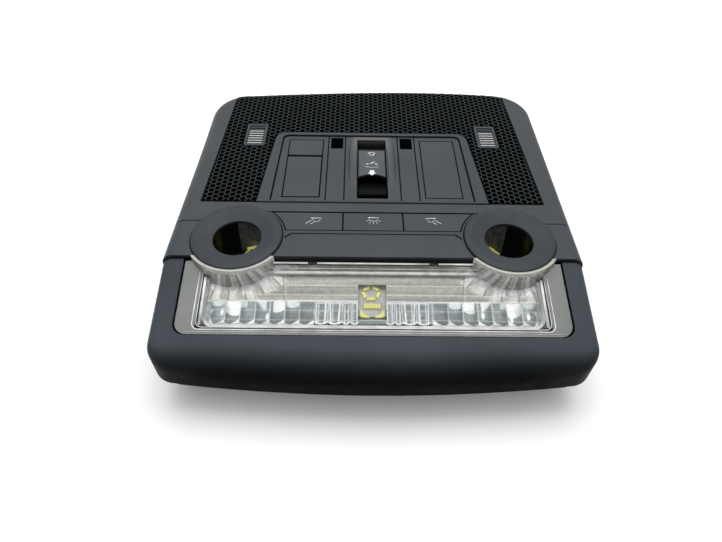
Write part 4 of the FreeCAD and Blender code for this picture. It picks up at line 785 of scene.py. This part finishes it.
def make_optic():
    """Fluted and faceted optic under the lens, dished up to the opening's rim."""
    columns = OPTIC_COLUMNS
    rows = OPTIC_ROWS
    u = np.linspace(-OPTIC_HALF, OPTIC_HALF, columns)[None, :].repeat(rows, 0)
    v = np.linspace(OPTIC_FRONT, OPTIC_REAR, rows)[:, None].repeat(columns, 1)
    tone, relief = optic_tone(u, v)
    rise = np.maximum(1 - (OPTIC_HALF - np.abs(u)) / 4.0, 0)
    rise = np.maximum(rise, 1 - (v - OPTIC_FRONT) / 1.4)
    rise = np.maximum(rise, 1 - (OPTIC_REAR - v) / 6.0)
    rise = np.clip(rise, 0, 1) ** 1.3
    w = OPTIC_W + (RIM_W - OPTIC_W) * rise + relief * 0.55 * (1 - rise)
    depth = LENS_TOP - w
    true_u = np.clip(u + (u - VIEW_U) / VIEW_DEPTH * depth, -OPENING_HALF, OPENING_HALF)
    true_v = v + VIEW_LEAN * depth
    points = []
    for j in range(rows):
        for k in range(columns):
            points.append(slope(true_u[j, k], true_v[j, k], w[j, k]))
    keep = ~((np.abs(u - CHIPS_U) < CHIPS_HALF) & (v > CHIPS_FRONT) & (v < CHIPS_REAR))
    for side in (-1, 1):
        keep &= np.hypot(u - side * RING_X, (v - LAMP_V) * math.cos(SLOPE)) >= LAMP_CUT
    faces = []
    for j in range(rows - 1):
        for k in range(columns - 1):
            if keep[j, k] and keep[j + 1, k] and keep[j, k + 1] and keep[j + 1, k + 1]:
                a = j * columns + k
                faces.append((a, a + 1, a + columns + 1, a + columns))
    made = piece("dome_optic", points, faces, [BRIGHT], "console", smooth=True)
    paint(made, tone.ravel(), soft_step(v, CELL_REAR, 2.0).ravel())
    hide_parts("optic_plate")


LENS_UP = (slope(0, 0, 1) - slope(0, 0, 0)).normalized()


def make_lens_ribs():
    """Ribs moulded on the lens: a double border, a front line, bright side bars and the rear bars. The front
    line is a painted highlight along the lens's edge, and the ribs' pale colour is a painted highlight on
    clear plastic.
    """
    parts = []

    def lay(path, width, height):
        spots = [slope(pu, pv, LENS_TOP) for pu, pv in path]
        parts.append(sweep(spots, LENS_UP, rib_section(width, height)))

    corner = 3.2
    for half, front, width in ((82.7, -36.7, 0.55), (81.1, -35.6, 0.4)):
        path = [(-half, -6.5)]
        for k in range(7):
            t = math.pi / 2 * k / 6
            path.append((-half + corner * (1 - math.cos(t)), front + corner * (1 - math.sin(t))))
        path += [(-pu, pv) for pu, pv in reversed(path)]
        lay(path, width, 0.3)
    # Front line: a painted highlight along the lens's edge, drawn as a rib
    lay([(-86.0, -37.8), (86.0, -37.8)], 0.35, 0.25)
    for side in (-1, 1):
        lay([(side * 79.7, -10.0), (side * 79.4, -34.4)], 1.3, 0.3)
    for low, high in ((-52.5, -31.7), (-27.2, 26.8), (31.4, 52.5)):
        lay([(low, -1.75), (high, -1.75)], 1.0, 0.3)
    lay([(-50.0, -4.7), (50.0, -4.7)], 0.3, 0.2)
    points, faces = joined(parts)
    piece("lens_ribs", points, faces, [RIB_HIGHLIGHT], "console", smooth=True)


RIM_RADIUS = 24.3
RIM_INNER = 22.75
RIM_TOP = 50.9
FAN_STEPS = 26
FAN_SPREAD = 0.45
FAN_TURN = 64.0
TRIM_FRONT = -48.4
RIM_REAR = -48.25

# Top of a lamp's rim from the bezel outwards, with painted shade in the gap by the ring and painted
# highlights on the rim's edges: distance from the lamp's axis, tone
RIM_BANDS = ((RIM_INNER, 0.12), (23.1, 0.2), (23.35, 0.4), (23.9, 0.45), (24.05, 0.3), (RIM_RADIUS, 0.35))


def fan_tone(angle):
    """Tone of the lamp's fan at an angle in degrees, inward positive: facets alternately paler and darker,
    with painted highlights on the bright facets.
    """
    tone = 0.42 + 0.2 * (math.sin(math.radians(angle) * FAN_COUNT) > 0)
    for middle, half, _, _, bright in FACET_HIGHLIGHTS:
        if abs(angle - middle) < half:
            tone = 0.5 + 0.5 * bright
    return tone


def make_lamp_fans():
    """Faceted wall round the front of each lamp, from its raised rim down to the optic, made bright by
    painted highlights.
    """
    for side, name in ((-1, "left"), (1, "right")):
        points = []
        tones = []
        count = 0
        for turn in np.arange(-FAN_TURN, FAN_TURN + 0.1, 0.5):
            across = math.sin(math.radians(turn))
            front = math.cos(math.radians(turn))
            if RING_Y - RIM_RADIUS * front > TRIM_FRONT:
                continue
            count += 1
            for radius, tone in RIM_BANDS:
                y = min(RING_Y - radius * front, RIM_REAR)
                points.append(Vector((side * RING_X + radius * across, y, RIM_TOP + 0.02)) * MM)
                tones.append(tone)
            radius = RIM_RADIUS + 0.06
            x = side * RING_X + radius * across
            y = RING_Y - radius * front
            foot = SLOPE_START[1] + (y - SLOPE_START[0]) * math.tan(SLOPE)
            over_flange = side * x > OPENING_HALF
            low = foot + (LENS_TOP if over_flange else OPTIC_W) / math.cos(SLOPE)
            for k in range(FAN_STEPS):
                share = k / (FAN_STEPS - 1)
                points.append(Vector((x, y, RIM_TOP + (low - RIM_TOP) * share)) * MM)
                if over_flange:
                    tones.append(0.4)
                # Painted highlight: a pale band near the top of the wall
                elif share < 0.2:
                    tones.append(0.35 if share < 0.04 or share > 0.16 else 0.8)
                else:
                    tones.append(fan_tone(-turn * side * (1 + FAN_SPREAD * (1 - share))))
        size = len(RIM_BANDS) + FAN_STEPS
        faces = []
        for n in range(count - 1):
            for k in range(size - 1):
                a = n * size + k
                faces.append((a, a + 1, a + size + 1, a + size))
        made = piece(f"lamp_fan_{name}", points, faces, [BRIGHT], "console")
        paint(made, np.array(tones), np.ones(len(tones)))


def block_between(low, high):
    """Points and faces of a block between two corners in millimetres, with its top edges broken."""
    x0, y0, z0 = low
    x1, y1, z1 = high
    inset = 0.15 * min(x1 - x0, y1 - y0, z1 - z0)
    points = []
    for z, draw in ((z0, 0.0), (z1 - inset, 0.0), (z1, inset)):
        left, right, front, rear = x0 + draw, x1 - draw, y0 + draw, y1 - draw
        for x, y in ((left, front), (right, front), (right, rear), (left, rear)):
            points.append(Vector((x, y, z)) * MM)
    faces = [(8, 9, 10, 11), (3, 2, 1, 0)]
    for ring in (0, 4):
        for k in range(4):
            n = (k + 1) % 4
            faces.append((ring + k, ring + n, ring + 4 + n, ring + 4 + k))
    return points, faces


# Ends of the yellow bars on each cup's rear wall, a painted reflection of the lamp's light chip, the bars'
# section and the way they face
LAMP_GLINTS = {
    "left": (((-65.7, -27.0, 33.6), (-60.7, -27.0, 35.1)), ((-67.2, -27.0, 29.9), (-64.9, -27.0, 32.9))),
    "right": (((61.8, -27.0, 36.2), (64.2, -27.0, 34.2)), ((64.6, -27.0, 33.8), (67.6, -27.0, 31.4))),
}
BAR_SECTION = [(-0.6, -3.0), (-0.6, 0.3), (-0.5, 0.4), (0.5, 0.4), (0.6, 0.3), (0.6, -3.0)]
BAR_UP = Vector((0.0, -0.8, 0.6))


def make_lamp_glints():
    """Yellow bars on the rear wall of each lamp cup: a painted reflection of the lamp's light chip in the
    cup.
    """
    for name, bars in LAMP_GLINTS.items():
        paths = [[Vector(spot) * MM for spot in bar] for bar in bars]
        points, faces = joined(sweep(path, BAR_UP, BAR_SECTION) for path in paths)
        piece(f"lamp_glint_{name}", points, faces, [CHIP], "console")


SLOT_PITCH = 2.4
SLOT_COUNT = 8
SHADED_SLOTS = 2
FIN_HALF = 0.36
FIN_INSET = 0.3
FIN_TOP = 50.1


def make_felts():
    """Felt pad of each slotted cover, with a fin standing in each slot. The fins in the rear slots are near
    black: painted shade in those slots.
    """
    for name in ("left", "right"):
        low, high = (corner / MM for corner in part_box(f"mic_filter_{name}"))
        middle = (low.y + high.y) / 2
        parts = [block_between(low, high)]
        marks = [0] * len(parts[0][1])
        for n in range(SLOT_COUNT):
            y = middle + (n - (SLOT_COUNT - 1) / 2) * SLOT_PITCH
            part = block_between((low.x + FIN_INSET, y - FIN_HALF, high.z - 0.05),
                                 (high.x - FIN_INSET, y + FIN_HALF, FIN_TOP))
            parts.append(part)
            marks += [1 if n >= SLOT_COUNT - SHADED_SLOTS else 0] * len(part[1])
        points, faces = joined(parts)
        made = piece(f"felt_{name}", points, faces, [FELT, SLOT_SHADE_FELT], "console", marks)
        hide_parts(f"mic_filter_{name}")


# Levels of the light chips, the middle of the ring of bars that is a painted reflection of the middle chip,
# and the outline of one wedge
CHIP_LOW = -8.4
CHIP_TOP = -7.4
GLINT_RING_MIDDLE = (-1.1, -14.3)
GLINT_RING_BAR = ((-1.5, 2.75), (1.5, 2.75), (2.25, 4.35), (-2.25, 4.35))
COMB_COUNT = 6
COMB_PITCH = 1.34
COMB_HALF = 0.57
WEDGE = ((6.0, -23.0), (6.0, -26.2), (5.2, -27.1), (1.6, -27.5), (1.2, -26.7), (3.6, -25.6), (5.1, -23.6))


def slab(outline):
    """Points and faces of a light chip from its outline, with its top edges broken."""
    count = len(outline)
    middle = (sum(pu for pu, pv in outline) / count, sum(pv for pu, pv in outline) / count)
    points = [slope(pu, pv, CHIP_LOW) for pu, pv in outline]
    points += [slope(pu, pv, CHIP_TOP - 0.2) for pu, pv in outline]
    for pu, pv in outline:
        points.append(slope(pu + (middle[0] - pu) * 0.12, pv + (middle[1] - pv) * 0.12, CHIP_TOP))
    faces = [tuple(range(2 * count, 3 * count))]
    for ring in (0, count):
        for k in range(count):
            n = (k + 1) % count
            faces.append((ring + k, ring + n, ring + count + n, ring + count + k))
    return points, faces


def make_light_chips():
    """Yellow light chips: five bars in a ring, which are a painted reflection of the middle chip, a comb of
    six and two wedges.
    """
    outlines = []
    # Five bars in a ring: painted reflection of the middle light chip, drawn as chips
    for n in range(5):
        turn = math.radians(54 + 72 * n)
        out = Vector((math.cos(turn), math.sin(turn)))
        along = Vector((-out.y, out.x))
        spots = [along * a + out * b for a, b in GLINT_RING_BAR]
        outlines.append([(GLINT_RING_MIDDLE[0] + spot.x, GLINT_RING_MIDDLE[1] + spot.y * 0.86) for spot in spots])
    for n in range(COMB_COUNT):
        x = -0.65 + (n - (COMB_COUNT - 1) / 2) * COMB_PITCH
        low, high = x - COMB_HALF, x + COMB_HALF
        outlines.append([(low, -22.5), (high, -22.5), (high, -20.0), (low, -20.0)])
    for side in (-1, 1):
        outline = [(side * pu - 0.6, pv) for pu, pv in WEDGE]
        outlines.append(outline if side < 0 else outline[::-1])
    points, faces = joined(slab(outline) for outline in outlines)
    made = piece("dome_chips", points, faces, [CHIP], "console")
    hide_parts("dome_leds")


# Markings on the keys and the roof switch


def flat_shape(outline, z, height=0.05):
    """Raised flat shape from an outline in millimetres."""
    count = len(outline)
    points = [Vector((x, y, z)) * MM for x, y in outline]
    points += [Vector((x, y, z + height)) * MM for x, y in outline]
    faces = [tuple(range(count, 2 * count))]
    for k in range(count):
        n = (k + 1) % count
        faces.append((k, n, count + n, count + k))
    return points, faces


def stroke(path, width, z, closed=False):
    """Raised line along places in millimetres."""
    spots = [Vector((x, y, z)) * MM for x, y in path]
    half = width / 2
    section = [(-half, 0.0), (-half * 0.8, 0.05), (half * 0.8, 0.05), (half, 0.0)]
    return sweep(spots, Vector((0, 0, 1)), section, closed)


# Rays of the middle lamp, and each key's mark: place and lean
LAMP_RAYS = (((-2.4, -0.1), (-3.6, -0.9)), ((-1.4, -1.4), (-2.2, -2.6)), ((0.0, -1.5), (0.0, -3.1)),
             ((1.4, -1.4), (2.2, -2.6)), ((2.4, -0.1), (3.6, -0.9)))
KEY_MARKS = (("left", -29.1, -22.2, -1), ("centre", 0.2, -21.5, 0), ("right", 29.7, -21.6, 1))
ARROW = ((0.0, 2.2), (2.3, 0.2), (1.2, 0.2), (1.2, -1.7), (-1.2, -1.7), (-1.2, 0.2), (-2.3, 0.2))


def lamp_mark(x, y, z, lean):
    """Lamp bowl with its rays: to one side, or straight down where it doesn't lean."""
    parts = []

    def at(path):
        return [(x + (px if lean <= 0 else -px), y + py) for px, py in path]

    if lean:
        parts.append(stroke(at([(-2.6, 1.9), (2.7, 1.9), (0.9, -0.9), (-0.8, -0.9)]), 0.22, z, True))
        parts.append(stroke(at([(-2.3, 0.2), (-5.2, -2.2)]), 0.26, z))
        parts.append(stroke(at([(-1.2, -1.4), (-2.8, -2.6)]), 0.26, z))
    else:
        parts.append(stroke(at([(-2.6, 1.9), (2.6, 1.9), (1.5, -0.6), (-1.5, -0.6)]), 0.22, z, True))
        for ray in LAMP_RAYS:
            parts.append(stroke(at(ray), 0.22, z))
    return joined(parts)


def make_marks():
    """White marks on the three light keys and on the roof switch."""
    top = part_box("button_centre")[1].z / MM
    for name, x, y, lean in KEY_MARKS:
        points, faces = lamp_mark(x, y, top, lean)
        piece(f"mark_{name}", points, faces, [INK], f"button_{name}")
    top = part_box("switch_knob")[1].z / MM
    parts = [stroke([(px, 36.2 + py * 0.75) for px, py in ARROW], 0.3, top, True)]
    solid = [(px * 1.05, 18.6 - py * 1.15) for px, py in ARROW]
    parts.append(flat_shape(solid[::-1], top))
    parts.append(stroke([(-4.0, 24.4), (-2.6, 23.6), (0.0, 23.3), (2.6, 23.6), (4.0, 24.4)], 0.22, top))
    parts.append(stroke([(-3.3, 26.3), (-1.8, 26.6)], 0.55, top))
    parts.append(stroke([(-0.9, 26.6), (1.5, 28.6)], 0.5, top))
    parts.append(stroke([(1.8, 26.6), (3.2, 26.3)], 0.55, top))
    points, faces = joined(parts)
    piece("mark_switch", points, faces, [INK], "switch_knob")


# Stage


FLOOR_REACH = 3.0
SKY_WAY = (0.0, 0.42, 0.9)
SKY_COLOUR = (0.97, 0.985, 1.0, 1.0)
LAMP_SIZE = (1.1, 0.8)
LAMP_PLACE = (0.0, 0.32, 1.1)
LAMP_TILT = -12.0
LAMP_WATTS = 9.0


def make_camera():
    """Camera at the photograph's viewpoint."""
    data = bpy.data.cameras.new("photo_camera")
    data.sensor_width = SENSOR_MM
    data.lens = FOCAL_PIXELS * SENSOR_MM / IMAGE_WIDTH
    data.clip_start = 0.01
    camera = bpy.data.objects.new("photo_camera", data)
    turn = Matrix.Rotation(math.radians(CAMERA_YAW), 4, "Z")
    tilt = Matrix.Rotation(math.radians(90 - CAMERA_PITCH), 4, "X")
    roll = Matrix.Rotation(math.radians(CAMERA_ROLL), 4, "Z")
    camera.matrix_world = Matrix.Translation(Vector(CAMERA_MM) * MM) @ turn @ tilt @ roll
    bpy.context.scene.collection.objects.link(camera)
    bpy.context.scene.camera = camera


def make_floor():
    """Wide pale table top."""
    made = mottled("pale_floor", 6.0, 3.0, (0.90, 0.90, 0.90), (0.92, 0.92, 0.92), Roughness=0.6,
                   Specular_IOR_Level=0.2, Emission_Strength=0.08, Emission_Color=(1.0, 1.0, 1.0, 1.0))
    far = FLOOR_REACH
    corners = [(-far, -far, 0), (far, -far, 0), (far, far, 0), (-far, far, 0)]
    mesh = bpy.data.meshes.new("floor")
    mesh.from_pydata(corners, [], [(0, 1, 2, 3)])
    mesh.materials.append(made)
    floor = bpy.data.objects.new("floor", mesh)
    bpy.context.scene.collection.objects.link(floor)


def make_light():
    """Soft overhead studio light: a sky bright above and behind the part, and one broad lamp."""
    world = bpy.data.worlds.new("studio")
    bpy.context.scene.world = world
    world.use_nodes = True
    tree = world.node_tree
    way = add(tree, "TexCoord").outputs["Generated"]
    lean = add(tree, "VectorMath", operation="DOT_PRODUCT")
    lean.inputs[1].default_value = SKY_WAY
    tree.links.new(way, lean.inputs[0])
    level = add(tree, "MapRange", interpolation_type="SMOOTHSTEP", From_Min=-0.1, From_Max=0.95, To_Min=0.25,
                To_Max=1.0)
    tree.links.new(lean.outputs["Value"], level.inputs["Value"])
    back = tree.nodes["Background"]
    back.inputs["Color"].default_value = SKY_COLOUR
    tree.links.new(level.outputs["Result"], back.inputs["Strength"])
    data = bpy.data.lights.new("broad_lamp", "AREA")
    data.shape = "RECTANGLE"
    data.size, data.size_y = LAMP_SIZE
    data.energy = LAMP_WATTS
    lamp = bpy.data.objects.new("broad_lamp", data)
    lamp.location = LAMP_PLACE
    lamp.rotation_euler = (math.radians(LAMP_TILT), 0, 0)
    bpy.context.scene.collection.objects.link(lamp)


make_camera()
make_floor()
make_light()
make_grille()
make_optic()
make_lens_ribs()
make_light_chips()
make_lamp_fans()
make_lamp_glints()
make_felts()
make_marks()
bpy.context.scene.view_settings.view_transform = "Standard"
